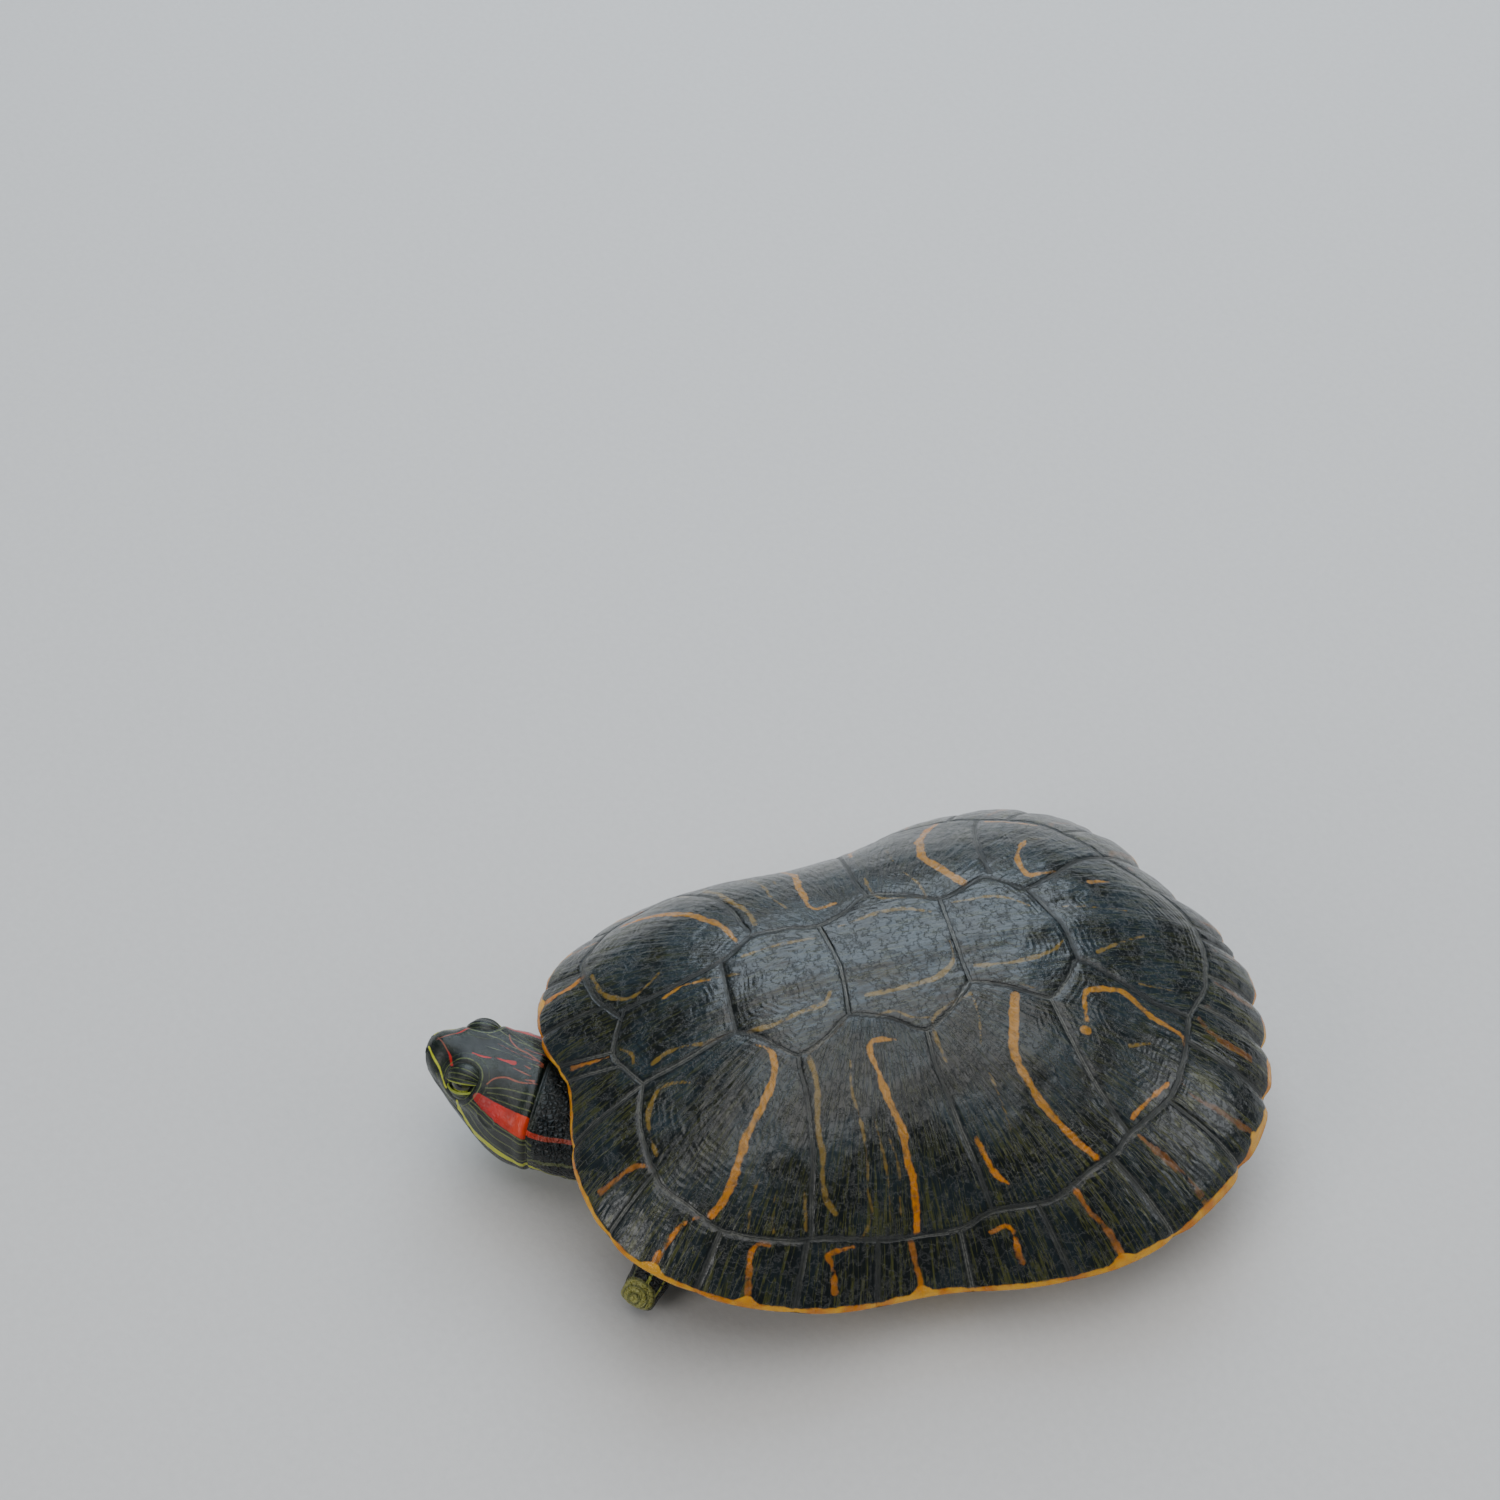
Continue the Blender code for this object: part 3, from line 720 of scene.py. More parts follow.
    def bars(self) -> list[Stroke]:
        """Return the painted bars and lines of the scutes, in (across, along) shares."""
        orange, pale = Tone.ORANGE, Tone.PALE
        flank = [
            Stroke(orange, ((0.080, 0.242), (0.089, 0.255), (0.104, 0.260), (0.134, 0.250),
                            (0.160, 0.227), (0.184, 0.202), (0.207, 0.181), (0.231, 0.164),
                            (0.252, 0.140), (0.260, 0.125)), (0.5, 1.3, 1.7, 1.7, 1.5)),
            Stroke(pale, ((0.099, 0.159), (0.083, 0.128), (0.082, 0.107), (0.096, 0.091),
                          (0.114, 0.081), (0.142, 0.078), (0.163, 0.078)), (0.4, 1.0, 1.0, 0.7)),
            Stroke(pale, ((0.263, 0.212), (0.282, 0.203), (0.299, 0.199)), (0.3, 0.7, 0.6)),
            Stroke(pale, ((0.228, 0.208), (0.255, 0.184), (0.288, 0.167)), (0.2, 0.6, 0.5)),
            Stroke(pale, ((0.263, 0.252), (0.290, 0.246), (0.306, 0.242)), (0.4, 1.2, 1.4)),
            Stroke(pale, ((0.121, 0.304), (0.152, 0.304), (0.182, 0.296), (0.211, 0.288),
                          (0.239, 0.286), (0.264, 0.278), (0.284, 0.277), (0.299, 0.284)),
                   (1.1, 1.4, 1.3, 1.2, 0.9)),
            Stroke(pale, ((0.139, 0.356), (0.176, 0.346), (0.207, 0.347), (0.235, 0.345),
                          (0.261, 0.341), (0.285, 0.334), (0.303, 0.334), (0.316, 0.326),
                          (0.327, 0.311)), (0.4, 0.7, 0.7, 0.7)),
            Stroke(orange, ((0.126, 0.424), (0.121, 0.394), (0.135, 0.386), (0.159, 0.388),
                            (0.188, 0.390), (0.216, 0.395), (0.234, 0.399), (0.260, 0.396),
                            (0.285, 0.398), (0.307, 0.395), (0.330, 0.390)),
                   (0.9, 1.2, 1.6, 1.6, 1.4, 1.5)),
            Stroke(pale, ((0.210, 0.365), (0.250, 0.366), (0.279, 0.364), (0.315, 0.356)),
                   (0.2, 0.4, 0.4, 0.3)),
            Stroke(pale, ((0.235, 0.378), (0.272, 0.382), (0.321, 0.369)), (0.2, 0.4, 0.3)),
            Stroke(pale, ((0.160, 0.535), (0.125, 0.544), (0.094, 0.545), (0.091, 0.540),
                          (0.101, 0.509), (0.109, 0.487), (0.130, 0.478), (0.171, 0.482)),
                   (0.4, 0.8, 0.8, 0.5)),
            Stroke(pale, ((0.198, 0.534), (0.231, 0.539), (0.265, 0.543)), (0.2, 0.5, 0.3)),
            Stroke(orange, ((0.105, 0.604), (0.135, 0.591), (0.167, 0.579), (0.190, 0.575),
                            (0.222, 0.584), (0.249, 0.594), (0.273, 0.610), (0.294, 0.626),
                            (0.317, 0.648)), (2.1, 2.3, 2.0, 1.7, 1.4)),
            Stroke(orange, ((0.262, 0.494), (0.287, 0.501), (0.306, 0.510), (0.316, 0.523)),
                   (0.8, 1.0, 1.0, 0.8)),
            Stroke(orange, ((0.158, 0.690), (0.140, 0.694), (0.117, 0.703), (0.115, 0.726),
                            (0.121, 0.756), (0.138, 0.770), (0.163, 0.789), (0.178, 0.812),
                            (0.189, 0.823), (0.204, 0.820)), (1.0, 1.5, 1.6, 1.2, 0.9)),
            Stroke(orange, ((0.170, 0.681), (0.171, 0.684)), (2.3, 2.3)),
            Stroke(orange, ((0.283, 0.712), (0.270, 0.733), (0.248, 0.777)), (1.3, 1.2, 1.0)),
            Stroke(pale, ((0.197, 0.739), (0.196, 0.772)), (0.7, 0.5)),
        ]
        rim = [
            Stroke(orange, ((0.174, 0.068), (0.165, 0.051), (0.167, 0.026), (0.170, -0.002)),
                   (1.0, 1.3, 1.2, 1.6)),
            Stroke(orange, ((0.254, 0.108), (0.256, 0.087), (0.263, 0.071), (0.272, 0.051),
                            (0.283, 0.036)), (1.0, 1.2, 1.2, 1.6)),
            Stroke(orange, ((0.309, 0.191), (0.304, 0.179), (0.310, 0.165), (0.329, 0.155),
                            (0.350, 0.146)), (0.7, 1.0, 1.1, 1.6)),
            Stroke(orange, ((0.332, 0.299), (0.332, 0.278), (0.335, 0.263), (0.345, 0.267),
                            (0.366, 0.263)), (0.7, 1.1, 1.2, 1.6)),
            Stroke(orange, ((0.337, 0.380), (0.348, 0.380), (0.361, 0.382), (0.376, 0.383)),
                   (1.2, 1.1, 1.1, 1.6)),
            Stroke(orange, ((0.353, 0.485), (0.353, 0.504), (0.360, 0.515), (0.390, 0.520)),
                   (0.9, 1.0, 1.1, 1.6)),
            Stroke(orange, ((0.344, 0.610), (0.364, 0.619), (0.388, 0.639), (0.418, 0.655)),
                   (1.0, 1.2, 1.3, 1.8)),
            Stroke(orange, ((0.302, 0.714), (0.322, 0.735), (0.350, 0.765), (0.370, 0.785)),
                   (1.0, 1.1, 1.3, 1.8)),
            Stroke(orange, ((0.245, 0.799), (0.262, 0.809), (0.282, 0.845), (0.300, 0.885)),
                   (1.0, 1.1, 1.3, 1.8)),
            Stroke(orange, ((0.160, 0.860), (0.184, 0.875), (0.205, 0.925)), (1.0, 1.2, 1.9)),
            Stroke(orange, ((0.139, 0.882), (0.141, 0.885)), (1.5, 1.5)),
            Stroke(orange, ((0.095, 0.915), (0.118, 0.965)), (1.0, 1.8)),
            Stroke(orange, ((0.030, 0.935), (0.036, 0.985)), (0.9, 1.6)),
        ]
        spine = [
            Stroke(pale, ((0.040, 0.109), (0.035, 0.132), (0.040, 0.159), (0.048, 0.185),
                          (0.046, 0.218)), (1.0, 1.0, 0.7, 0.4)),
            Stroke(pale, ((-0.009, 0.078), (0.010, 0.089), (0.024, 0.087)), (0.6, 0.6)),
            Stroke(pale, ((0.057, 0.240), (0.060, 0.276), (0.054, 0.313), (0.052, 0.346),
                          (0.036, 0.362)), (0.9, 1.1, 0.9, 0.5)),
            Stroke(pale, ((0.114, 0.305), (0.104, 0.332), (0.093, 0.354), (0.080, 0.371)),
                   (0.9, 0.8, 0.5)),
            Stroke(pale, ((0.054, 0.406), (0.057, 0.448), (0.057, 0.490), (0.050, 0.518),
                          (0.032, 0.540), (0.001, 0.546)), (0.8, 1.3, 1.3, 0.9, 0.6)),
            Stroke(pale, ((0.088, 0.400), (0.087, 0.434), (0.102, 0.456), (0.109, 0.480)),
                   (0.5, 0.7, 0.4)),
            Stroke(pale, ((0.049, 0.567), (0.055, 0.612), (0.054, 0.644), (0.046, 0.680),
                          (0.030, 0.704)), (0.9, 1.1, 0.8, 0.5)),
            Stroke(pale, ((0.089, 0.588), (0.093, 0.618), (0.102, 0.634)), (0.4, 0.6, 0.4)),
            Stroke(pale, ((0.056, 0.745), (0.043, 0.779), (0.028, 0.828)), (0.9, 0.8, 0.4)),
            Stroke(pale, ((-0.032, 0.727), (-0.026, 0.774), (-0.019, 0.831)), (0.4, 0.7, 0.4)),
            Stroke(pale, ((0.110, 0.786), (0.116, 0.812), (0.121, 0.840)), (0.5, 0.6, 0.4)),
            Stroke(pale, ((-0.055, 0.205), (-0.037, 0.256)), (0.5, 0.6)),
            Stroke(pale, ((-0.067, 0.270), (-0.067, 0.323), (-0.062, 0.375)), (0.6, 0.8, 0.5)),
            Stroke(pale, ((-0.073, 0.410), (-0.081, 0.473), (-0.076, 0.509), (-0.060, 0.540)),
                   (0.6, 0.9, 0.9, 0.6)),
            Stroke(pale, ((-0.069, 0.575), (-0.068, 0.602), (-0.064, 0.645), (-0.040, 0.680)),
                   (0.6, 0.9, 0.9, 0.5)),
            Stroke(orange, ((-0.052, 0.150), (-0.058, 0.177), (-0.048, 0.217)), (0.5, 0.9, 0.6)),
            Stroke(orange, ((-0.032, 0.012), (-0.024, 0.030), (-0.008, 0.062)), (1.5, 1.0, 0.7)),
        ]
        spared = (flank[0], flank[14], flank[15])
        other = [
            Stroke(s.tone, mirrored(s.points), s.half) for s in flank + rim if s not in spared
        ]
        other += [
            Stroke(orange, ((-0.091, 0.272), (-0.140, 0.262), (-0.171, 0.246), (-0.207, 0.226),
                            (-0.245, 0.190), (-0.268, 0.150)), (0.7, 1.7, 1.8, 1.5)),
            Stroke(orange, ((-0.106, 0.746), (-0.103, 0.721), (-0.104, 0.700), (-0.150, 0.705),
                            (-0.200, 0.740)), (0.8, 1.4, 1.5, 1.2, 0.6)),
            Stroke(orange, ((-0.085, 0.822), (-0.080, 0.787)), (0.8, 1.1)),
        ]
        return flank + rim + spine + other

    def build(self) -> Piece:
        """Mould the shell and keep its seams, bars and rings on the vertices."""
        form = self.form
        angles = self.column_angles()
        shares = self.row_shares(angles)
        under = np.interp(
            np.linspace(0, 1, self.under_rows), (0, 0.3, 0.55, 1), (0.985, 0.86, 0.70, 0)
        )
        share = np.concatenate([shares[:-1] * 0.996, [s for s, _ in self.lip], under])[:, None]
        top = np.arange(len(share)) < self.top_rows
        drop = np.concatenate([np.zeros(self.top_rows), [d * MM for _, d in self.lip]])
        grid_angle, grid_share = np.broadcast_arrays(angles[None, :], share)
        seams = np.radians(self.seam_degrees())
        beside_neck = np.isin(self.seam_degrees(), self.front_seams[1:3])
        lean = np.where(beside_neck, self.neck_plate_lean, 0)
        leant = seams + lean * (1 - grid_share[..., None])
        turn = (grid_angle[..., None] - leant + math.pi) % math.tau - math.pi
        nearest = np.argmin(np.abs(turn), axis=-1)
        around = np.take_along_axis(turn, nearest[..., None], -1)[..., 0]
        radius = form.rim_radius(grid_angle) * grid_share
        parity = np.where((around > 0) == (nearest % 2 == 0), 1.0, -1.0)
        rim_cross = np.abs(around) * radius / MM
        edge_near = bell(rim_cross, 3.2)
        cut = 1 - by_quarter(self.notch, grid_angle) * edge_near * grid_share**12
        x, y = form.in_plan(grid_share * cut, grid_angle)
        z = np.where(top[:, None], form.dome(grid_share, grid_angle), 0.0)
        lower = form.hollow(grid_share, grid_angle)
        lower -= 1.3 * MM * smooth_step(0.90, 0.985, grid_share)
        z = np.where(top[:, None], z, lower)
        lip_rows = slice(self.top_rows, self.top_rows + len(self.lip))
        z[lip_rows] = form.dome(np.ones_like(z[lip_rows]), grid_angle[lip_rows])
        z[lip_rows] += drop[self.top_rows :, None]
        points = np.stack([x, y, z], -1)

        layers = self.marks(points, parity * rim_cross)
        gap = np.minimum(np.abs(layers["seam_rows"]), np.abs(layers["seam_cross"]))
        gap = np.minimum(gap, np.abs(layers["seam_ends"]))
        layers["ring"] = np.minimum(gap, 30) + 0.55 * lumps(points, 0.016, 4)
        relief = 0.30 * (1 - np.exp(-gap / 2.6)) - 0.34 * bell(gap, 0.62)
        rings = np.sin(layers["ring"] * math.tau / RING_STEP + 2.5 * lumps(points, 0.019, 5))
        relief += 0.024 * rings * smooth_step(1.5, 4.0, gap)
        relief += 0.12 * lumps(points, 0.021, 7) + 0.07 * lumps(points, 0.006, 8)
        flutes = np.sin(layers["streak_across"] * 1.45 + 3.0 * lumps(points, 0.034, 9))
        patches = smooth_step(-0.5, 0.6, lumps(points, 0.027, 10))
        relief += 0.055 * flutes * patches * smooth_step(0.8, 3.0, gap)
        fade = np.where(np.arange(len(share)) < self.top_rows + 2, 1.0, 0.0)[:, None]
        points = points + normals(points) * (relief * fade * MM)[..., None]
        edge = (1 - grid_share * cut) * form.rim_radius(grid_angle) / MM * 1.25
        scallop = 0.55 + 0.55 * (1 - bell(rim_cross, 2.2))
        scallop = scallop + 1.7 * smooth_step(-3.0, 0.6, layers[Tone.ORANGE.value])
        rearward = smooth_step(0.3, 0.8, -np.cos(grid_angle))
        scallop = scallop + 0.9 * rearward * (1 - bell(rim_cross, 4.0))
        layers["rim_edge"] = np.where(top[:, None], scallop - edge, scallop)
        layers["beneath"] = 1 - fade + np.zeros_like(edge)
        layers["rim_mid"] = rim_cross
        made = Bench.moulded("shell_top", points + np.array(form.offset), layers)
        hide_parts("carapace")
        return made

    def marks(self, points: Grid, rim_cross: Grid) -> dict[str, Grid]:
        """Measure each point against the seams and the painted bars.

        Args:
            points: the smooth shell's points.
            rim_cross: signed distance to the nearest rim seam, in millimetres.

        Returns:
            The layers by name: signed seam distances and bar margins, in millimetres.
        """
        form = self.form
        spots = points[: self.top_rows]
        x, y = spots[..., 0] / LENGTH, spots[..., 1] / LENGTH + 0.5

        def gap(lines: Sequence[Line]) -> Grid:
            best = np.full(spots.shape[:-1], 99.0)
            for line in lines:
                curve = finer(form.on_dome(line), 3)
                jitter = 0.25 * lumps(spots, 0.011, 3)
                away = distance(spots, curve, reach=1.0)
                best = np.minimum(best, away + jitter * smooth_step(3, 8, away))
            return best

        left_rim, right_rim = list(self.margin_line), mirrored(self.margin_line)
        front, rear = self.front_edge[1:-1], self.rear_edge[1:-1]
        spine_ring = np.array(
            [*self.spine_left, *rear, *reversed(self.spine_right), *reversed(front)]
        )
        whole_ring = np.array([*left_rim, *reversed(right_rim)])
        spine = inside(x, y, spine_ring)
        flank = inside(x, y, whole_ring) & ~spine
        rows = gap([self.spine_left, self.spine_right, left_rim, right_rim])
        rows *= np.where(flank, -1.0, 1.0)
        ends = gap([self.front_edge, self.rear_edge]) * np.where(spine, 1.0, -1.0)
        ends = np.where(flank, 60.0, ends)
        spine_gap = gap(self.spine_crossings)
        number = np.zeros(x.shape, int)
        for line in self.spine_crossings:
            plan = np.array(line)[::-1]
            number += y > np.interp(x, plan[:, 0], plan[:, 1])
        spine_gap *= np.where(number % 2 == 0, 1.0, -1.0)
        flank_gap = gap([*self.flank_crossings, *(mirrored(c) for c in self.flank_crossings)])
        number = np.zeros(x.shape, int)
        for line in self.flank_crossings:
            plan = np.array(line)
            number += y > np.interp(np.abs(x), plan[:, 0], plan[:, 1])
        flank_gap *= np.where(number % 2 == 0, 1.0, -1.0)
        cross = np.where(spine, spine_gap, np.where(flank, flank_gap, rim_cross[: self.top_rows]))
        layers = {}
        for name, values, below in (
            ("seam_rows", rows, 40.0),
            ("seam_ends", ends, 60.0),
            ("seam_cross", cross, 0.0),
        ):
            full = np.full(points.shape[:-1], below)
            full[: self.top_rows] = values
            layers[name] = full
        layers["seam_cross"][self.top_rows :] = rim_cross[self.top_rows :]
        for tone in (Tone.ORANGE, Tone.PALE):
            full = np.full(points.shape[:-1], UNPAINTED)
            for stroke in self.bars():
                if stroke.tone is not tone:
                    continue
                plan = finer(np.array(stroke.points, float))
                curve = form.on_dome(plan)
                half = stroke.halves(len(curve)) * self.brush
                full = np.maximum(full, margin(points, curve, half))
            layers[tone.value] = full + 0.18 * lumps(points, 0.007, 12)
        layers["rim_zone"] = np.zeros(points.shape[:-1])
        layers["rim_zone"][: self.top_rows] = ~spine & ~flank
        share, angle = form.at(points[..., 0], points[..., 1])
        layers["streak_across"] = np.degrees(angle) * 1.5
        layers["streak_along"] = share * 100
        for name, plan in (("streak_across", x), ("streak_along", y)):
            top = layers[name][: self.top_rows]
            top[spine] = plan[spine] * LENGTH / MM
        return layers


@dataclass(frozen=True)
class ShellFinish:
    """Wet dark horn with olive streaks, orange bars, pale seams and growth rings, and a painted
    bluish sheen over its upper part.
    """

    dark: Triple = (0.0030, 0.0045, 0.0042)
    olive: Triple = (0.052, 0.054, 0.012)
    # the horn's cloudy slate tone, which also serves as the painted sheen on the upper shell
    slate: Triple = (0.012, 0.022, 0.028)
    seam: Triple = (0.15, 0.15, 0.13)
    orange: Triple = (0.50, 0.160, 0.002)
    tan: Triple = (0.30, 0.155, 0.012)
    umber: Triple = (0.200, 0.070, 0.010)
    pale: Triple = (0.180, 0.112, 0.016)
    yellow: Triple = (0.66, 0.32, 0.012)

    def material(self) -> Material:
        """Build the finish."""
        graph = Graph("shell_horn")
        rows, cross, ends = (graph.layer(n) for n in ("seam_rows", "seam_cross", "seam_ends"))
        gap = abs(rows).least(abs(cross)).least(abs(ends))
        gap = gap + (graph.noise(900, 3) - 0.5) * 0.5
        along, across = graph.layer("streak_along"), graph.layer("streak_across")
        streak = graph.noise(1.0, 3, graph.place_of(across * 0.75, along * 0.055), 0.55)
        fine = graph.noise(1.0, 3, graph.place_of(across * 3.0, along * 0.5, 5.0), 0.6)
        place = graph.node("ShaderNodeSeparateXYZ", {}, {0: graph.place}).outputs
        height, back = Value(graph, place["Z"]), Value(graph, place["Y"]).rise(0.045, 0.085)
        low = height.rise(0.066, 0.048)
        cloud = graph.noise(70, 3)
        ring = graph.layer("ring") + (graph.noise(110, 4) - 0.5) * 5.0
        ripples = (ring * 3.3).wave()
        pits = graph.cells(900, "F1")
        specks = graph.noise(2600, 2)

        # painted sheen: the slate tone is partly the horn's own cloudy tone, and it is laid on more
        # heavily high on the shell than low on the flank, standing in for the sky's reflection
        base = graph.mix(self.dark, self.slate, cloud.rise(0.40, 0.62) * (1 - low * 0.5))
        base = graph.mix(base, self.olive, streak.rise(0.53, 0.66) * (0.15 + fine) * (0.4 + low))
        base = graph.mix(base, self.olive, fine.rise(0.58, 0.72) * (0.10 + low * 0.12))
        patchy = graph.noise(95, 2).rise(0.40, 0.62)
        base = graph.mix(base, self.dark, ripples.rise(0.35, 1.0) * patchy * 0.5)
        base = graph.mix(base, self.dark, pits.rise(0.30, 0.10) * 0.6)
        scrawl = abs(graph.noise(240, 5, rough=0.62) - 0.5).rise(0.028, 0.004)
        base = graph.mix(base, (0.003, 0.004, 0.003), scrawl * 0.7)
        vein = abs(graph.noise(1.0, 3, graph.place_of(across * 0.62, along * 0.06, 9.0)) - 0.5)
        base = graph.mix(base, self.olive, vein.rise(0.026, 0.006) * (0.35 + low * 0.35))
        wander = (graph.noise(420, 4) - 0.5) * 1.5 + (graph.noise(150, 2) - 0.5) * 1.6
        warm = graph.mix(self.orange, self.tan, height.rise(0.044, 0.066) * 0.75)
        warm = graph.mix(warm, self.olive, fine.rise(0.46, 0.74) * 0.5)
        brown = graph.layer("rim_zone").rise(0.3, 0.7) * graph.noise(60, 2).rise(0.35, 0.55)
        warm = graph.mix(warm, self.umber, brown * 0.8)
        bar = (graph.layer(Tone.ORANGE.value) + wander).rise(-0.25, 0.35)
        line = (graph.layer(Tone.PALE.value) + wander * 0.8).rise(-0.25, 0.35)
        worn = graph.noise(330, 4).rise(0.26, 0.52)
        base = graph.mix(base, self.pale, line * worn * 0.75)
        faded = 1 - graph.layer("rim_zone") * back * 0.65
        base = graph.mix(base, warm, bar * (0.45 + worn * 0.5) * faded)
        edge_dark = gap.rise(1.9, 0.9) * 0.75
        base = graph.mix(base, self.dark, edge_dark)
        crust = graph.noise(1500, 3).rise(0.30, 0.55)
        chalk = graph.noise(42, 2).rise(0.42, 0.62)
        base = graph.mix(base, self.seam, gap.rise(0.58, 0.34) * (0.10 + crust * chalk * 0.60))
        split = (gap - 0.08).rise(0.16, 0.02)
        base = graph.mix(base, self.dark, split * 0.8)
        beneath = graph.layer("beneath")
        rim = (graph.layer("rim_edge") + wander * 0.5).rise(-0.2, 0.3)
        rim_colour = graph.mix(self.orange, self.yellow, graph.noise(120, 2).rise(0.4, 0.6))
        base = graph.mix(base, rim_colour, rim * 0.9)
        middle = graph.layer("rim_mid")
        blot = (middle + (graph.noise(160, 3) - 0.5) * 9).rise(4.2, 3.0)
        horn = graph.mix(self.yellow, (0.62, 0.42, 0.14), graph.noise(90, 3))
        horn = graph.mix(horn, (0.035, 0.030, 0.016), blot * 0.9)
        base = graph.mix(base, horn, beneath)

        flutes = graph.noise(1.0, 1.5, graph.place_of(across * 0.42, along * 0.12, 3.0), 0.5)
        relief = ripples * gap.rise(0.8, 2.5) * patchy * 0.05 + fine * 0.05 + streak * 0.08
        relief = relief + flutes * 0.55 + graph.noise(300, 1.5) * 0.35
        relief = relief - scrawl * 0.10 - vein.rise(0.03, 0.0) * 0.03
        relief = relief + specks * 0.012 - pits.rise(0.30, 0.08) * 0.05
        relief = relief - gap.rise(0.95, 0.25) * 0.18 + gap.rise(0.50, 0.18) * 0.10
        roughness = 0.10 + cloud * 0.14 + gap.rise(1.0, 0.4) * 0.25 + specks * 0.06
        return graph.finish(
            base, roughness, relief, 0.75, coat=0.09, coat_roughness=0.09, specular=0.50
        )


# ---------------------------------------------------------------- head, neck and limbs


@dataclass(frozen=True)
class HeadForm:
    """The head and neck as one run of rings; in the head's frame +y is back and +z its crown."""

    offset: Vector
    length: float = 0.0400
    turn: float = math.radians(34)
    pitch: float = math.radians(5)
    snout: Triple = (-0.0375, -0.1440, 0.0345)
    rake: float = 0.35
    bend: float = 0.0045
    jowl: float = 0.20
    slim: float = 0.12
    side_power: float = 0.88
    crown_power: float = 0.92
    nape_blend: tuple[float, float] = (0.90, 1.16)
    stations: tuple[tuple[float, float, float, float], ...] = (
        (0.00, 0.0056, 0.0056, -0.0046),
        (0.06, 0.0080, 0.0078, -0.0066),
        (0.16, 0.0105, 0.0096, -0.0096),
        (0.30, 0.0128, 0.0104, -0.0132),
        (0.48, 0.0158, 0.0106, -0.0172),
        (0.68, 0.0182, 0.0106, -0.0208),
        (0.86, 0.0193, 0.0104, -0.0228),
        (1.00, 0.0195, 0.0104, -0.0232),
    )
    neck_path: Line = (
        (0.0016, -0.0722, 0.0275), (-0.0004, -0.0885, 0.0276), (-0.0046, -0.1030, 0.0246),
        (-0.0107, -0.1123, 0.0250),
    )  # fmt: skip
    neck_sections: Line = ((0.0180, 0.0160), (0.0190, 0.0158), (0.0194, 0.0158), (0.0194, 0.0168))
    neck_share: float = 1.1
    eye_radius: float = 0.0044
    eye_back: float = 0.0140
    eye_out: float = 0.0099
    eye_up: float = 0.0051
    right_eye_shift: Triple = (0.0004, -0.0010, -0.0011)

    def matrix(self) -> Matrix:
        """Return the head's frame in the world."""
        turned = Matrix.Rotation(-self.turn, 4, "Z") @ Matrix.Rotation(-self.pitch, 4, "X")
        return Matrix.Translation(Vector(self.snout) + self.offset) @ turned

    def world(self, local: Grid) -> Grid:
        """Carry points from the head's frame to the world."""
        frame = np.array(self.matrix())
        return local @ frame[:3, :3].T + frame[:3, 3]

    def head_ring(self, share: Grid, angle: Grid) -> Grid:
        """Return world points of the head; angle 0 is its left side and 90 degrees its crown."""
        shares, widths, tops, bottoms = zip(*self.stations)
        width, top, bottom = (through(shares, v, share) for v in (widths, tops, bottoms))
        across, up = np.cos(angle), np.sin(angle)
        jowl = 1 + (up < 0) * self.jowl * 4 * share * (1 - share) * np.sin(2 * angle) ** 2
        slim = self.slim * bell(share - 0.17, 0.11)
        jowl = jowl - (up > 0) * slim * np.sin(2 * angle) ** 2
        x = width * jowl * np.sign(across) * np.abs(across) ** self.side_power
        z = np.where(up > 0, top, -bottom) * jowl * np.sign(up) * np.abs(up) ** self.crown_power
        y = share * self.length - self.rake * z * (1 - share) ** 3
        return self.world(np.stack([x + self.bend * share**2, y, z], -1))

    def neck_ring(self, share: Grid, angle: Grid) -> Grid:
        """Return world points of the neck; share 1 meets the head and 0 is inside the shell."""
        middle, ahead = along(self.neck_path, share)
        left = np.cross(np.array([0.0, 0.0, 1.0]), ahead)
        left /= np.linalg.norm(left, axis=-1, keepdims=True)
        up = np.cross(ahead, left)
        wide, high = half_sizes(self.neck_sections, share)
        across, rise = np.cos(angle)[..., None], np.sin(angle)[..., None]
        made = middle + left * wide * across + up * high * rise
        return made + np.array(self.offset)

    def ring(self, run: Grid, angle: Grid) -> Grid:
        """Return world points; run is 0 at the snout, 1 at the nape and 2.1 deep in the shell."""
        start, end = self.nape_blend
        on_head = self.head_ring(np.clip(run, 0, 1), angle)
        on_neck = self.neck_ring(np.clip(1 - (run - 1) / self.neck_share, 0, 1), angle)
        whole = np.where((run <= 1)[..., None], on_head, on_neck)
        ones = np.ones_like(run)
        p0, p1 = self.head_ring(ones * start, angle), self.ring_neck_at(end, angle, ones)
        t0 = (p0 - self.head_ring(ones * (start - 0.02), angle)) / 0.02
        t1 = (self.ring_neck_at(end + 0.02, angle, ones) - p1) / 0.02
        u = np.clip((run - start) / (end - start), 0, 1)[..., None]
        span = end - start
        eased = p0 * (2 * u**3 - 3 * u**2 + 1) + t0 * span * (u**3 - 2 * u**2 + u)
        eased += p1 * (3 * u**2 - 2 * u**3) + t1 * span * (u**3 - u**2)
        between = ((run > start) & (run < end))[..., None]
        return np.where(between, eased, whole)

    def ring_neck_at(self, run: float, angle: Grid, ones: Grid) -> Grid:
        """Return the neck's ring at one run."""
        return self.neck_ring(ones * (1 - (run - 1) / self.neck_share), angle)

    def line(self, points: Line, side: Side = Side.LEFT) -> Grid:
        """Return world points under (run, degrees) pairs, on either side of the head."""
        plan = finer(np.array(points, float), 5)
        angle = np.radians(plan[:, 1] if side is Side.LEFT else 180 - plan[:, 1])
        return self.ring(plan[:, 0], angle)

    def eye_centre(self, side: Side) -> Grid:
        """Return the middle of an eyeball, in the world."""
        local = np.array([side.value * self.eye_out, self.eye_back, self.eye_up])
        if side is Side.RIGHT:
            local += np.array(self.right_eye_shift)
        return self.world(local[None])[0]

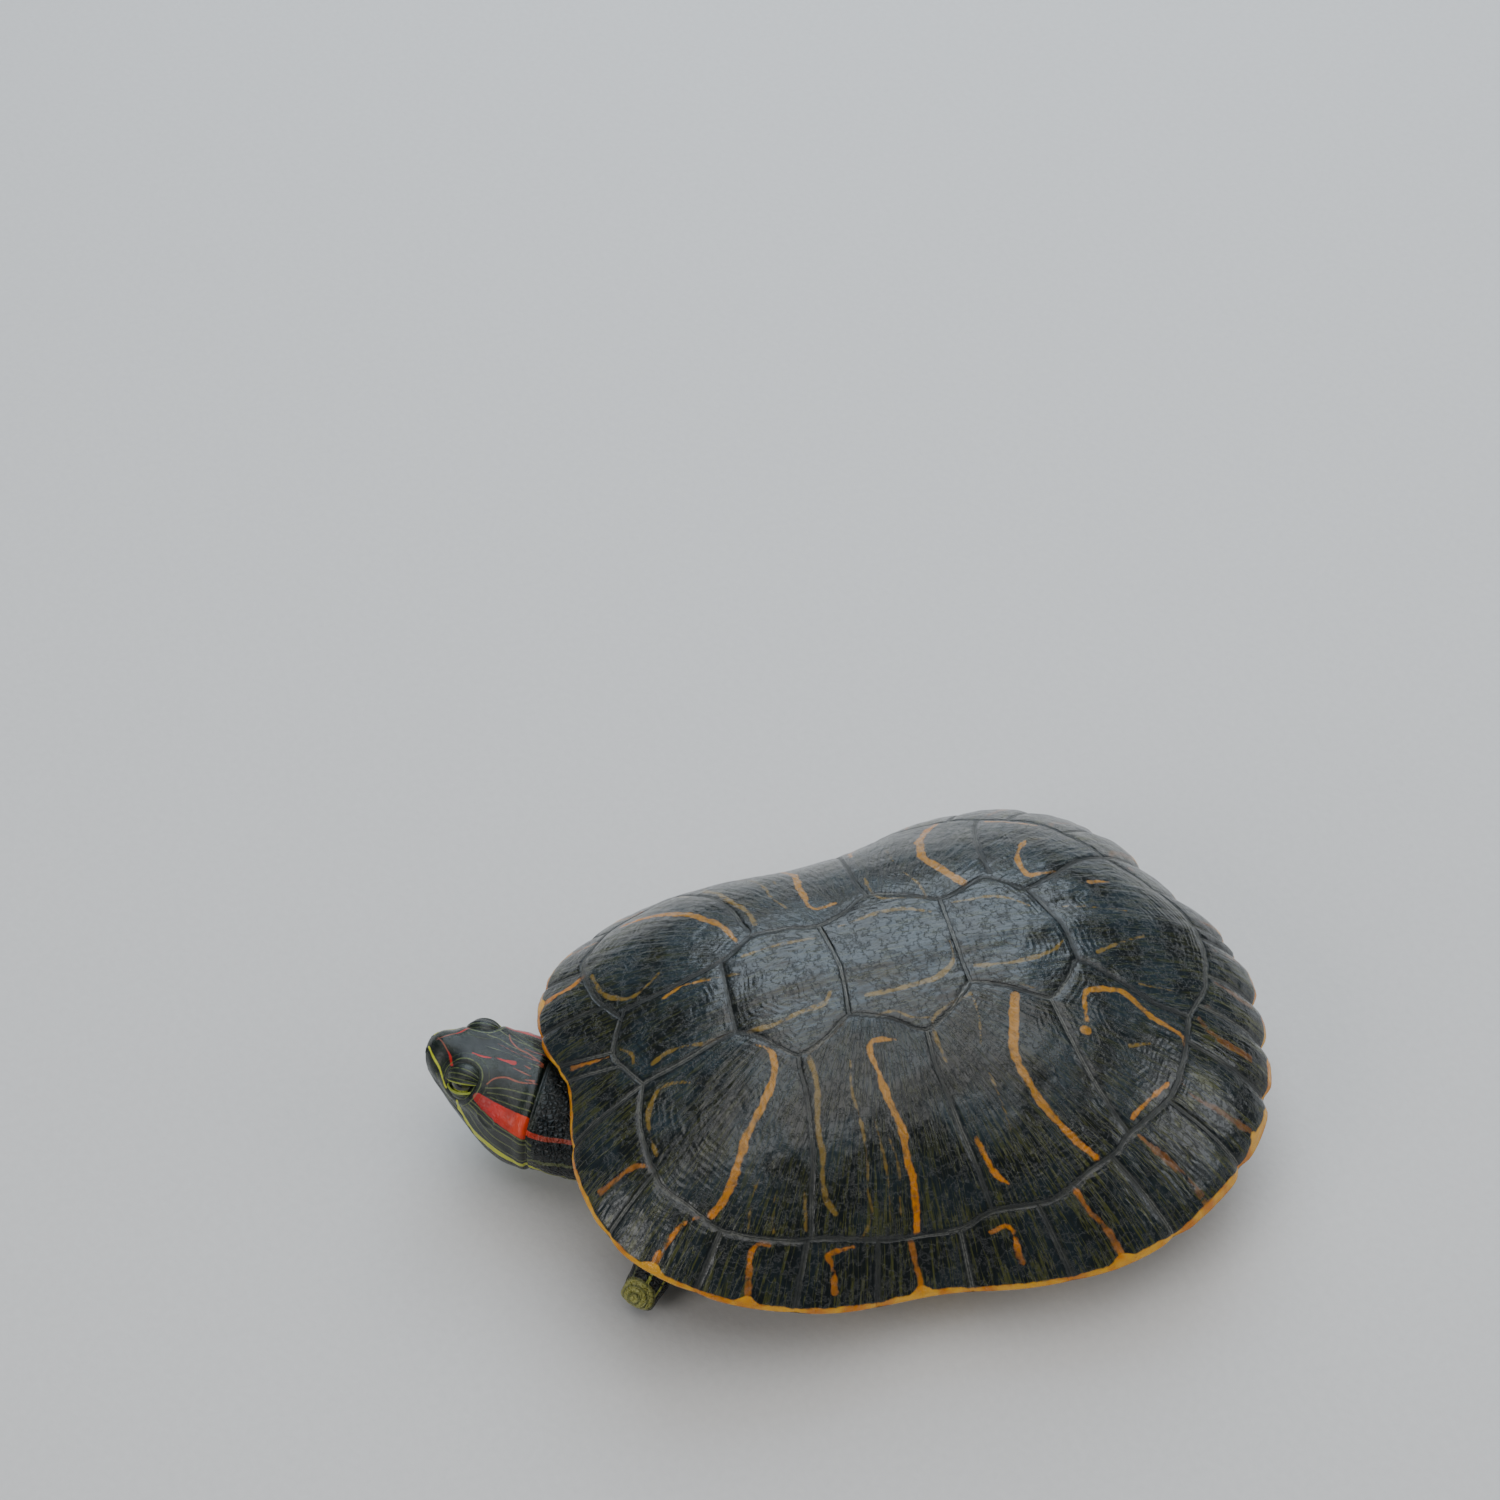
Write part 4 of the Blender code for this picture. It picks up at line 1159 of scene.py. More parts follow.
    def eye_axes(self, side: Side) -> tuple[Grid, Grid, Grid]:
        """Return the eye's slit, upward and gaze directions, in the world."""
        gaze = np.array([side.value * 0.90, -0.22, 0.40])
        gaze /= np.linalg.norm(gaze)
        slit = np.array([0.0, 0.98, 0.22])
        slit -= gaze * (slit @ gaze)
        slit /= np.linalg.norm(slit)
        frame = np.array(self.matrix())[:3, :3]
        lift = frame @ np.cross(slit, gaze)
        return frame @ slit, lift if lift[2] > 0 else -lift, frame @ gaze


@dataclass
class HeadSkin:
    """The skin of head and neck: beak, nostrils, lids, eardrums, folds and painted stripes."""

    form: HeadForm
    columns: int = 280
    head_rows: int = 168
    neck_rows: int = 42
    cut_sharpness: float = 40.0  # millimetres of marking lost for each unit of run past its cut
    collar_run: float = 0.95
    mouth_paint: Line = ((0.0, -16), (0.18, -19), (0.28, -20), (0.38, -25), (0.46, -33))
    mouth_groove: Line = (
        (0.0, -16), (0.08, -19), (0.18, -19), (0.28, -20), (0.38, -25), (0.46, -33),
    )  # fmt: skip
    nostril: Line = ((0.015, 62), (0.02, 62))

    def strokes(self) -> list[Stroke]:
        """Return the painted stripes of the left side, in (run, degrees)."""
        yellow, thin, red, pink = Tone.YELLOW, Tone.THIN, Tone.RED, Tone.PINK
        return [
            Stroke(yellow, ((0.335, 2), (0.345, -16), (0.45, -27), (0.63, -25), (0.90, -25),
                            (1.08, -24), (1.30, -24), (1.70, -26)), (0.5, 1.35, 1.3, 1.0, 0.8)),
            Stroke(yellow, ((0.03, 72), (0.08, 53), (0.14, 36), (0.23, 12)), (0.26, 0.42, 0.32)),
            Stroke(yellow, ((0.05, -42), (0.16, -46), (0.34, -60), (0.60, -64), (1.00, -62),
                            (1.60, -60)), (0.5, 0.6, 0.9, 1.0, 0.9)),
            Stroke(yellow, ((0.42, -90), (0.55, -84), (0.80, -82), (1.20, -80), (1.60, -80)),
                   (0.4, 0.8, 1.0, 0.9)),
            Stroke(thin, ((0.12, 20), (0.17, 2), (0.24, -10), (0.30, -14)), (0.25, 0.35, 0.25)),
            Stroke(thin, ((0.21, 8), (0.215, 0), (0.22, -10)), (0.3, 0.25)),
            Stroke(thin, ((0.45, 17), (0.54, 8), (0.66, 2), (0.82, 4), (1.00, 6)), (0.3, 0.35)),
            Stroke(thin, ((0.43, 8), (0.52, -3), (0.66, -9), (0.84, -8), (1.00, -5)), (0.3, 0.3)),
            Stroke(thin, ((0.42, -2), (0.50, -14), (0.64, -19), (0.84, -18), (1.00, -16),
                          (1.15, 2), (1.32, 8), (1.60, 8)), (0.25, 0.3, 0.35, 0.45)),
            Stroke(thin, ((0.98, -12), (1.08, -2), (1.19, 6), (1.32, 9), (1.60, 10)), (0.5, 0.65)),
            Stroke(thin, ((0.46, 24), (0.56, 18), (0.69, 12), (0.86, 13), (1.00, 14)), (0.2, 0.3)),
            Stroke(thin, ((0.40, -40), (0.52, -46), (0.75, -46), (1.00, -44), (1.50, -42)),
                   (0.2, 0.35, 0.3)),
            Stroke(pink, ((0.54, 56), (0.58, 67), (0.66, 74), (0.76, 76), (0.90, 82)),
                   (0.15, 0.26, 0.30, 0.16), until=0.94),
            Stroke(thin, ((0.54, 51), (0.64, 60), (0.76, 66), (0.92, 71)), (0.15, 0.22),
                   until=0.94),
            Stroke(thin, ((0.56, 47), (0.68, 55), (0.82, 60), (0.94, 64)), (0.12, 0.20),
                   until=0.94),
            Stroke(thin, ((0.59, 44), (0.74, 49), (0.94, 55)), (0.12, 0.18), until=0.94),
            Stroke(thin, ((0.40, 112), (0.50, 111), (0.60, 106), (0.73, 105), (0.88, 105)),
                   (0.15, 0.20, 0.15), False),
            Stroke(thin, ((0.46, 126), (0.60, 117), (0.72, 115), (0.88, 114)), (0.2, 0.18), False),
            Stroke(pink, ((0.50, 104), (0.64, 100), (0.76, 100), (0.88, 100)), (0.1, 0.2), False),
            Stroke(thin, ((0.42, 97), (0.56, 96), (0.70, 96), (0.86, 95)), (0.1, 0.18), False),
            Stroke(pink, ((0.70, 109), (0.80, 109), (0.90, 110)), (0.15, 0.2), False),
            Stroke(pink, ((0.08, 92), (0.13, 85), (0.18, 74), (0.22, 64)), (0.12, 0.18, 0.20)),
            Stroke(pink, ((0.68, 86), (0.76, 86), (0.83, 86)), (0.12, 0.26, 0.12), False),
            Stroke(pink, ((0.74, 92), (0.80, 91)), (0.16, 0.30), False),
            Stroke(pink, ((0.82, 97), (0.88, 97)), (0.12, 0.30), False),
            Stroke(pink, ((0.80, 81), (0.87, 83)), (0.16, 0.34), False),
            Stroke(red, ((0.50, 34), (0.57, 31), (0.68, 30), (0.82, 31), (0.97, 33)),
                   (1.3, 2.1, 2.8, 3.3, 3.5), until=0.945),
            Stroke(red, ((0.93, 27), (1.00, 29), (1.11, 34), (1.26, 38), (1.60, 40)),
                   (0.9, 0.9, 0.75, 0.7)),
            Stroke(red, ((0.36, 83), (0.43, 84), (0.50, 87)), (0.2, 0.4, 0.2), False),
            Stroke(red, ((0.52, 88), (0.60, 89), (0.67, 90)), (0.2, 0.35, 0.85), False),
            Stroke(red, ((0.19, 72), (0.22, 64), (0.25, 54)), (0.2, 0.45, 0.5)),
        ]  # fmt: skip

    def build(self) -> Piece:
        """Mould the skin from the snout's tip back into the shell."""
        form = self.form
        head = np.linspace(0, 1, self.head_rows) ** 1.15
        neck = 1 + np.linspace(0, form.neck_share, self.neck_rows + 1)[1:]
        run = np.concatenate([[0.0, 0.0], head, neck, [1 + form.neck_share]])[:, None]
        angle = ring_angles(self.columns)
        run, angle = np.broadcast_arrays(run, angle)
        points = form.ring(run, angle)
        middle = points.mean(1, keepdims=True)
        nose = form.world(np.array([[0.0, -0.0008, 0.0]]))[0]
        points[0] = nose
        points[1] = nose + (points[2] - nose) * 0.72
        points[-1] = middle[-1, 0]
        smooth = points.copy()
        out = normals(points)
        height = 0.10 * lumps(points, 0.012, 21) + 0.04 * lumps(points, 0.004, 22)
        height += self.face(points, run, angle)
        height += self.folds(points, run, angle)
        points = points + out * (height * MM)[..., None]
        cut = run + self.wobble(smooth, angle)
        layers = self.marks(smooth, cut)
        layers["run"] = run.copy()
        layers["pebbles"] = smooth_step(0.96, 1.06, run + 0.05 * np.cos(angle - 1.9))
        away = [np.linalg.norm(smooth - form.eye_centre(side), axis=-1) / MM for side in Side]
        layers["arc"] = 3.0 + np.clip(np.minimum(*away) - 5.0, 0, 6)
        layers["knob"] = np.full(run.shape, UNPAINTED)
        return Bench.moulded("head_skin", points, layers)

    def face(self, points: Grid, run: Grid, angle: Grid) -> Grid:
        """Return the face's relief in millimetres: mouth, nostrils, sockets and eardrums."""
        form = self.form
        height = np.zeros(run.shape)
        crown = bell(np.degrees(angle) - 90, 34)
        height -= 0.35 * crown * smooth_step(0.10, 0.22, run) * smooth_step(0.62, 0.40, run)
        for side in Side:
            mouth = form.line(self.mouth_groove, side)
            gap = distance(points, mouth)
            height -= 0.55 * bell(gap, 0.33)
            above = form.line(((0.0, -8), (0.10, -12), (0.20, -12), (0.32, -15)), side)
            away = distance(points, above)
            height += 0.28 * bell(away, 0.9)
            below = form.line(((0.02, -34), (0.16, -34), (0.32, -40)), side)
            away = distance(points, below)
            height += 0.25 * bell(away, 1.4)
            nostril = form.line(self.nostril, side)
            gap = distance(points, nostril)
            height -= 0.75 * bell(gap, 0.42)
            height += 0.18 * bell(gap - 0.9, 0.4)
            away = np.linalg.norm(points - form.eye_centre(side), axis=-1) / MM
            height += 0.95 * bell(away - 6.2, 2.4)
            height -= 1.2 * np.exp(-((away / 5.0) ** 4))
            ear = form.line(((0.60, 8), (0.61, 8)), side)[0]
            away = np.linalg.norm(points - ear, axis=-1) / MM
            height += 0.16 * bell(away - 3.4, 0.5)
            height -= 0.22 * smooth_step(3.4, 2.6, away)
        return height

    def wobble(self, points: Grid, angle: Grid) -> Grid:
        """Return how far the collar strays from its mean run."""
        return 0.012 * lumps(points, 0.030, 31) + 0.03 * np.cos(angle - 1.9)

    def folds(self, points: Grid, run: Grid, angle: Grid) -> Grid:
        """Return the neck's relief in millimetres: the collar's step and the rings behind it."""
        height = np.zeros(run.shape)
        spot = run + self.wobble(points, angle) - self.collar_run
        height -= 0.85 * bell(spot, 0.016)
        height += 0.40 * bell(spot + 0.055, 0.040)
        height -= 0.45 * smooth_step(0.0, 0.05, spot)
        for step, deep in ((0.12, 0.22), (0.22, 0.35), (0.33, 0.55), (0.44, 0.7)):
            shift = 0.03 * lumps(points, 0.014, 40 + int(step * 100))
            height -= deep * bell(spot - step + shift, 0.016)
        return height

    def marks(self, points: Grid, cut: Grid) -> dict[str, Grid]:
        """Measure the points against the stripes of both sides; cut is the run that ends them."""
        layers = {tone.value: np.full(points.shape[:-1], UNPAINTED) for tone in Tone}
        for stroke in self.strokes():
            for side in Side if stroke.paired else (Side.LEFT,):
                curve = self.form.line(stroke.points, side)
                name = stroke.tone.value
                painted = margin(points, curve, stroke.halves(len(curve)))
                shown = np.minimum(painted, (stroke.until - cut) * self.cut_sharpness)
                layers[name] = np.maximum(layers[name], shown)
        # painted shade: the mouth's slit and the nostrils are painted dark through the groove layer
        for side in Side:
            for course, half in ((self.mouth_paint, 0.22), (self.nostril, 0.42)):
                line = self.form.line(course, side)
                dark = margin(points, line, np.full(len(line), half))
                groove = Tone.GROOVE.value
                layers[groove] = np.maximum(layers[groove], dark)
        return layers


@dataclass
class Lids:
    """A pair of wrinkled lids round one eyeball, open along a narrow slit."""

    form: HeadForm
    side: Side
    outer: float = 0.00500
    inner: float = 0.00452
    open_up: float = math.radians(16)
    open_down: float = math.radians(22)
    long: float = 1.20
    columns: int = 88
    rows: int = 38
    lip_columns: int = 8
    outside_share: float = 0.68

    def build(self) -> Piece:
        """Mould the lids as one closed visor that turns about the corners of the eye."""
        slit, lift, gaze = self.form.eye_axes(self.side)
        outside = int(self.columns * self.outside_share)
        inside_count = self.columns - outside - 2 * self.lip_columns
        low, high = self.open_up, math.tau - self.open_down
        ease = (1 - np.cos(np.linspace(0, math.pi, outside))) / 2
        ease = 0.5 * ease + 0.5 * np.linspace(0, 1, outside)
        arc = np.linspace(0, math.pi, self.lip_columns + 2)[1:-1]
        middle, half = (self.outer + self.inner) / 2, (self.outer - self.inner) / 2
        turn = np.concatenate([
            low + (high - low) * ease,
            high + 0.05 * np.sin(arc),
            np.linspace(high, low, inside_count),
            low - 0.05 * np.sin(arc),
        ])  # fmt: skip
        radius = np.concatenate([
            np.full(outside, self.outer),
            middle + half * np.cos(arc),
            np.full(inside_count, self.inner),
            middle - half * np.cos(arc),
        ])  # fmt: skip
        tilt = np.linspace(0, math.pi, self.rows + 1)[:, None]
        turn, radius = np.broadcast_to(turn, (self.rows + 1, self.columns)), radius[None, :]
        from_edge = np.minimum(turn - low, high - turn)
        on_outside = np.arange(self.columns)[None, :] < outside
        wrinkle = 0.10 * np.sin(np.degrees(from_edge) / 8.5 * math.pi) * np.sin(tilt)
        swell = 0.22 * bell(np.degrees(from_edge), 7)
        swell += 0.75 * smooth_step(8, 48, np.degrees(from_edge))
        radius = radius + on_outside * (wrinkle + swell) * MM * np.sin(tilt)
        x, y, z = np.cos(tilt), np.sin(tilt) * np.sin(turn), np.sin(tilt) * np.cos(turn)
        spots = x[..., None] * slit * self.long + y[..., None] * lift * 1.06 + z[..., None] * gaze
        points = self.form.eye_centre(self.side) + spots * radius[..., None]
        layers = skin_layers(turn.shape, run=0.35, pebbles=0.0, arc=np.degrees(from_edge) / 10)
        return Bench.moulded("lids_" + self.side.word, points, layers)


@dataclass
class Eyeball:
    """One eye: a round pupil in a dark bar across a yellow-green iris."""

    form: HeadForm
    side: Side
    rows: int = 72
    columns: int = 96

    def build(self) -> Piece:
        """Mould the eyeball with a slightly domed cornea."""
        slit, lift, gaze = self.form.eye_axes(self.side)
        tilt = (np.linspace(0, 1, self.rows + 1) ** 1.15 * math.pi)[:, None]
        turn = ring_angles(self.columns)
        radius = self.form.eye_radius * (1 + 0.020 * bell(tilt, 0.45) + 0 * turn)
        u, v = np.sin(tilt) * np.cos(turn), np.sin(tilt) * np.sin(turn)
        w = np.cos(tilt) + 0 * turn
        spots = u[..., None] * slit + v[..., None] * lift + w[..., None] * gaze
        points = self.form.eye_centre(self.side) + spots * radius[..., None]
        scale = self.form.eye_radius / MM
        layers = {"eye_along": u * scale, "eye_up": v * scale, "eye_out": w * scale}
        made = Bench.moulded("eyeball_" + self.side.word, points, layers)
        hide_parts("eye_" + self.side.word)
        return made


@dataclass
class Limb:
    """A leg, foot, toe or tail: an oval carried along a path."""

    name: str
    path: Line
    sections: Line
    side: Side
    offset: Vector
    fullness: float = 0.74
    rows: int = 40
    columns: int = 36
    closing: int = 5  # rows that round off each end

    def frames(self, share: Grid) -> tuple[Grid, Grid, Grid]:
        """Return the path's centres, the across and the up directions at each share."""
        middle, ahead = along(self.path, share)
        across = np.cross(ahead, np.array([0.0, 0.0, 1.0]))
        across /= np.linalg.norm(across, axis=-1, keepdims=True)
        return middle, across, np.cross(across, ahead)

    def surface(self, share: Grid, angle: Grid) -> Grid:
        """Return world points on the limb at a share of its path and an angle round it."""
        wide, high = half_sizes(self.sections, share)
        middle, across, up = self.frames(share)
        turned = np.cos(angle)[..., None] * across * wide + np.sin(angle)[..., None] * up * high
        made = middle + turned
        return made * np.array([self.side.value, 1, 1]) + np.array(self.offset)

    def build(self) -> Piece:
        """Mould the limb with rounded ends."""
        rows, closing = self.rows, self.closing
        share = np.concatenate([
            np.zeros(closing), np.linspace(0, 1, rows + 1 - 2 * closing), np.ones(closing)
        ])  # fmt: skip
        turn = np.linspace(0, math.pi / 2, closing + 1)[:-1]
        scale = np.ones(rows + 1)
        scale[:closing], scale[-closing:] = np.sin(turn), np.sin(turn)[::-1]
        angle = ring_angles(self.columns)
        share, angle = np.broadcast_arrays(share[:, None], angle)
        full = self.surface(share, angle)
        middle = full.mean(1, keepdims=True)
        ahead = middle[closing + 1] - middle[closing]
        ahead /= np.linalg.norm(ahead)
        last = middle[-closing - 1] - middle[-closing - 2]
        last /= np.linalg.norm(last)
        points = middle + (full - middle) * scale[:, None, None]
        cap = (1 - self.fullness) * 1.6
        points[:closing] -= ahead * (self.sections[0][1] * cap * np.cos(turn))[:, None, None]
        points[-closing:] += last * (self.sections[-1][1] * cap * np.cos(turn)[::-1])[:, None, None]
        return Bench.moulded(self.name, points)


@dataclass(frozen=True)
class Foot:
    """Where a foot's claws and toes go, and how they fan out."""

    path: Line
    sections: Line
    claws: int
    claw_length: float = 0.0078
    claw_radius: float = 0.0011
    fan: float = math.radians(64)
    drop: float = math.radians(16)
    claw_bow: float = 0.0010
    claw_clearance: float = 0.0002  # above the floor
    claw_rows: int = 22
    claw_columns: int = 14

    def claw_lines(self) -> list[tuple[Vector, Vector]]:
        """Return each claw's root and heading on the left side, in shell coordinates."""
        tip, before = Vector(self.path[-1]), Vector(self.path[-2])
        forward = (tip - before).normalized()
        across = forward.cross(Vector((0, 0, 1))).normalized()
        wide, high = self.sections[-1]
        lines = []
        for number in range(self.claws):
            share = number / (self.claws - 1) * 2 - 1
            heading = Matrix.Rotation(-share * self.fan / 2, 3, "Z") @ forward
            heading.z = -math.sin(self.drop)
            root = tip + across * share * wide * 0.72 - forward * 0.0016
            root.z -= high * 0.30
            lines.append((root, heading.normalized()))
        return lines


@dataclass
class Body:
    """Trunk, legs, feet, toes and tail under the shell, and the claws."""

    offset: Vector
    form: ShellForm
    voxel: float = 0.00100
    kept: float = 0.42
    foreleg: Line = (
        (0.0320, -0.0680, 0.0300), (0.0360, -0.0810, 0.0255), (0.0422, -0.0932, 0.0165),
        (0.0506, -0.1042, 0.0080),
    )  # fmt: skip
    foreleg_sections: Line = (
        (0.0095, 0.0110), (0.0085, 0.0100), (0.0070, 0.0080), (0.0054, 0.0056),
    )  # fmt: skip
    hindleg: Line = ((0.0380, 0.0560, 0.0270), (0.0440, 0.0640, 0.0220), (0.0420, 0.0715, 0.0165))
    hindleg_sections: Line = ((0.0090, 0.0110), (0.0088, 0.0100), (0.0080, 0.0084))
    forefoot: Foot = Foot(
        ((0.0445, -0.0885, 0.0048), (0.0438, -0.0825, 0.0048), (0.0458, -0.0765, 0.0048)),
        ((0.0044, 0.0028), (0.0056, 0.0030), (0.0062, 0.0028)),
        5,
    )
    hindfoot: Foot = Foot(
        ((0.0392, 0.0800, 0.0132), (0.0350, 0.0860, 0.0118), (0.0325, 0.0915, 0.0104)),
        ((0.0074, 0.0052), (0.0086, 0.0046), (0.0094, 0.0034)),
        4,
    )
    tail: Line = (
        (0.0, 0.0630, 0.0230), (0.0004, 0.0780, 0.0180), (-0.0030, 0.0905, 0.0130),
        (-0.0095, 0.0975, 0.0088), (-0.0170, 0.0990, 0.0056),
    )  # fmt: skip
    tail_sections: Line = (
        (0.0085, 0.0080), (0.0072, 0.0066), (0.0052, 0.0048), (0.0034, 0.0032), (0.0014, 0.0014),
    )  # fmt: skip
    trunk_centre: Triple = (0.0, 0.48, 0.168)
    trunk_size: Triple = (0.264, 0.290, 0.140)
    trunk_gap: float = 0.0045
    skin_clearance: float = 0.0006  # above the floor
    hidden_beyond: float = 19.0  # millimetres from any limb
    stripes: Line = ((20, 0.5), (65, 0.45), (115, 0.5), (160, 0.45), (-40, 0.7), (-110, 0.6))
    stripe_steps: int = 16
    knob_shift: Triple = (0.0016, -0.0010, 0.0038)
    knob_radius: float = 6.2

    def limbs(self) -> list[Limb]:
        """Return every limb, with its two sides."""
        made = [Limb("tail_flesh", self.tail, self.tail_sections, Side.LEFT, self.offset)]
        for side in Side:
            for name, path, sections in (
                ("foreleg_flesh", self.foreleg, self.foreleg_sections),
                ("hindleg_flesh", self.hindleg, self.hindleg_sections),
                ("foot_flesh", self.forefoot.path, self.forefoot.sections),
                ("foot_flesh", self.hindfoot.path, self.hindfoot.sections),
            ):
                made.append(Limb(name, path, sections, side, self.offset))
        return made

    def toes(self) -> list[Piece]:
        """Mould a knuckled toe behind each claw."""
        made = []
        for side in Side:
            for foot, back in ((self.forefoot, 0.0050), (self.hindfoot, 0.0085)):
                for root, heading in foot.claw_lines():
                    start, end = root - heading * back, root + heading * 0.0018
                    path = (tuple(start + Vector((0, 0, 0.0006))), tuple(end))
                    size = ((0.0014, 0.0014), (0.00135, 0.0013))
                    toe = Limb("toe_flesh", path, size, side, self.offset, rows=18, columns=14)
                    made.append(toe.build())
        return made

    def trunk(self) -> Piece:
        """Mould the trunk, kept under the shell's hollow."""
        rows, columns = 48, 72
        tilt = np.linspace(0, math.pi, rows + 1)[:, None]
        turn = ring_angles(columns)
        (cx, cy, cz), (sx, sy, sz) = self.trunk_centre, self.trunk_size
        x = (cx + sx * np.cos(turn) * np.sin(tilt)) * LENGTH
        y = (cy - 0.5 + sy * np.sin(turn) * np.sin(tilt)) * LENGTH
        z = (cz + sz * np.sign(np.cos(tilt)) * np.abs(np.cos(tilt)) ** 0.84) * LENGTH + 0 * x
        share, angle = self.form.at(x, y)
        z = np.minimum(z, self.form.hollow(share, angle) - self.trunk_gap)
        return Bench.moulded("trunk_flesh", np.stack([x, y, z], -1) + np.array(self.offset))

    def build(self) -> Piece:
        """Join the flesh, melt it into one skin, and mark its stripes."""
        limbs = self.limbs()
        pieces = [self.trunk(), *(limb.build() for limb in limbs), *self.toes()]
        flesh = Bench.joined("body_skin", pieces)
        flesh.data.remesh_voxel_size = self.voxel
        flesh.data.use_remesh_fix_poles = False
        Bench.only(flesh)
        bpy.ops.object.voxel_remesh()
        smooth = flesh.modifiers.new("ease", "SMOOTH")
        smooth.factor, smooth.iterations = 0.5, 4
        bpy.ops.object.modifier_apply(modifier=smooth.name)
        self.thin_out(flesh, limbs)
        points = Bench.points(flesh)
        facing = np.empty(len(points) * 3, np.float32)
        flesh.data.vertex_normals.foreach_get("vector", facing)
        wrinkle = 0.16 * lumps(points, 0.0055, 51) + 0.10 * lumps(points, 0.0026, 52)
        moved = points + facing.reshape(-1, 3) * (wrinkle * MM)[:, None]
        moved[:, 2] = np.maximum(moved[:, 2], self.skin_clearance)
        Bench.set_points(flesh, moved)
        layers = skin_layers((len(points),), run=1.5, pebbles=1.0, arc=9.0)
        for limb in limbs:
            reach = 0.0 if limb.name == "foot_flesh" else 1.0
            for degrees, half in self.stripes:
                share = np.linspace(0.02, 0.98, self.stripe_steps)
                line = limb.surface(share, np.full(self.stripe_steps, math.radians(degrees)))
                thin = np.full(self.stripe_steps, half * (0.55 + 0.45 * reach))
                name = Tone.YELLOW.value if abs(degrees) != 65 else Tone.THIN.value
                layers[name] = np.maximum(layers[name], margin(points, line, thin))
        for side in Side:
            end = np.array(self.foreleg[-1]) + np.array(self.knob_shift)
            end = end * np.array([side.value, 1, 1]) + np.array(self.offset)
            away = np.linalg.norm(points - end, axis=1) / MM
            layers["knob"] = np.maximum(layers["knob"], self.knob_radius - away)
        for name, values in layers.items():
            Bench.layer(flesh, name, values)
        return flesh

    def thin_out(self, flesh: Piece, limbs: list[Limb]) -> None:
        """Leave fewer faces on the trunk, where the shell hides it."""
        points = Bench.points(flesh)
        near = np.full(len(points), 99.0)
        for limb in limbs:
            for spot in limb.surface(np.linspace(0, 1, 9), np.zeros(9)):
                near = np.minimum(near, np.linalg.norm(points - spot, axis=1) / MM)
        hidden = flesh.vertex_groups.new(name="hidden")
        hidden.add([int(k) for k in np.flatnonzero(near > self.hidden_beyond)], 1.0, "REPLACE")
        fewer = flesh.modifiers.new("fewer", "DECIMATE")
        fewer.vertex_group, fewer.ratio = hidden.name, self.kept
        Bench.only(flesh)
        bpy.ops.object.modifier_apply(modifier=fewer.name)
        flesh.vertex_groups.clear()

    def claws(self, foot: Foot, side: Side, name: str) -> Piece:
        """Mould one foot's curved claws."""
        made = []
        for root, heading in foot.claw_lines():
            run = np.linspace(0, 1, foot.claw_rows + 1)[:, None]
            turn = ring_angles(foot.claw_columns)
            radius = foot.claw_radius * 1.02 * (1 - run**1.5) ** 0.75 + 0.00004
            radius = np.where(run < 0.02, 0.0, radius) + 0 * turn
            across = np.array(heading.cross(Vector((0, 0, 1))).normalized())
            up = np.cross(across, np.array(heading))
            middle = np.array(root) + run[..., None] * np.array(heading) * foot.claw_length
            middle = middle + up * (foot.claw_bow * (run * (1 - run) * 2.0))[..., None]
            ring = np.cos(turn)[..., None] * across * 0.86 + np.sin(turn)[..., None] * up
            points = middle + ring * radius[..., None]
            points = points * np.array([side.value, 1, 1]) + np.array(self.offset)
            points[..., 2] = np.maximum(points[..., 2], foot.claw_clearance)
            layers = {"claw_run": run + 0 * turn}
            made.append(Bench.moulded(name, points, layers))
        return Bench.joined(name, made)


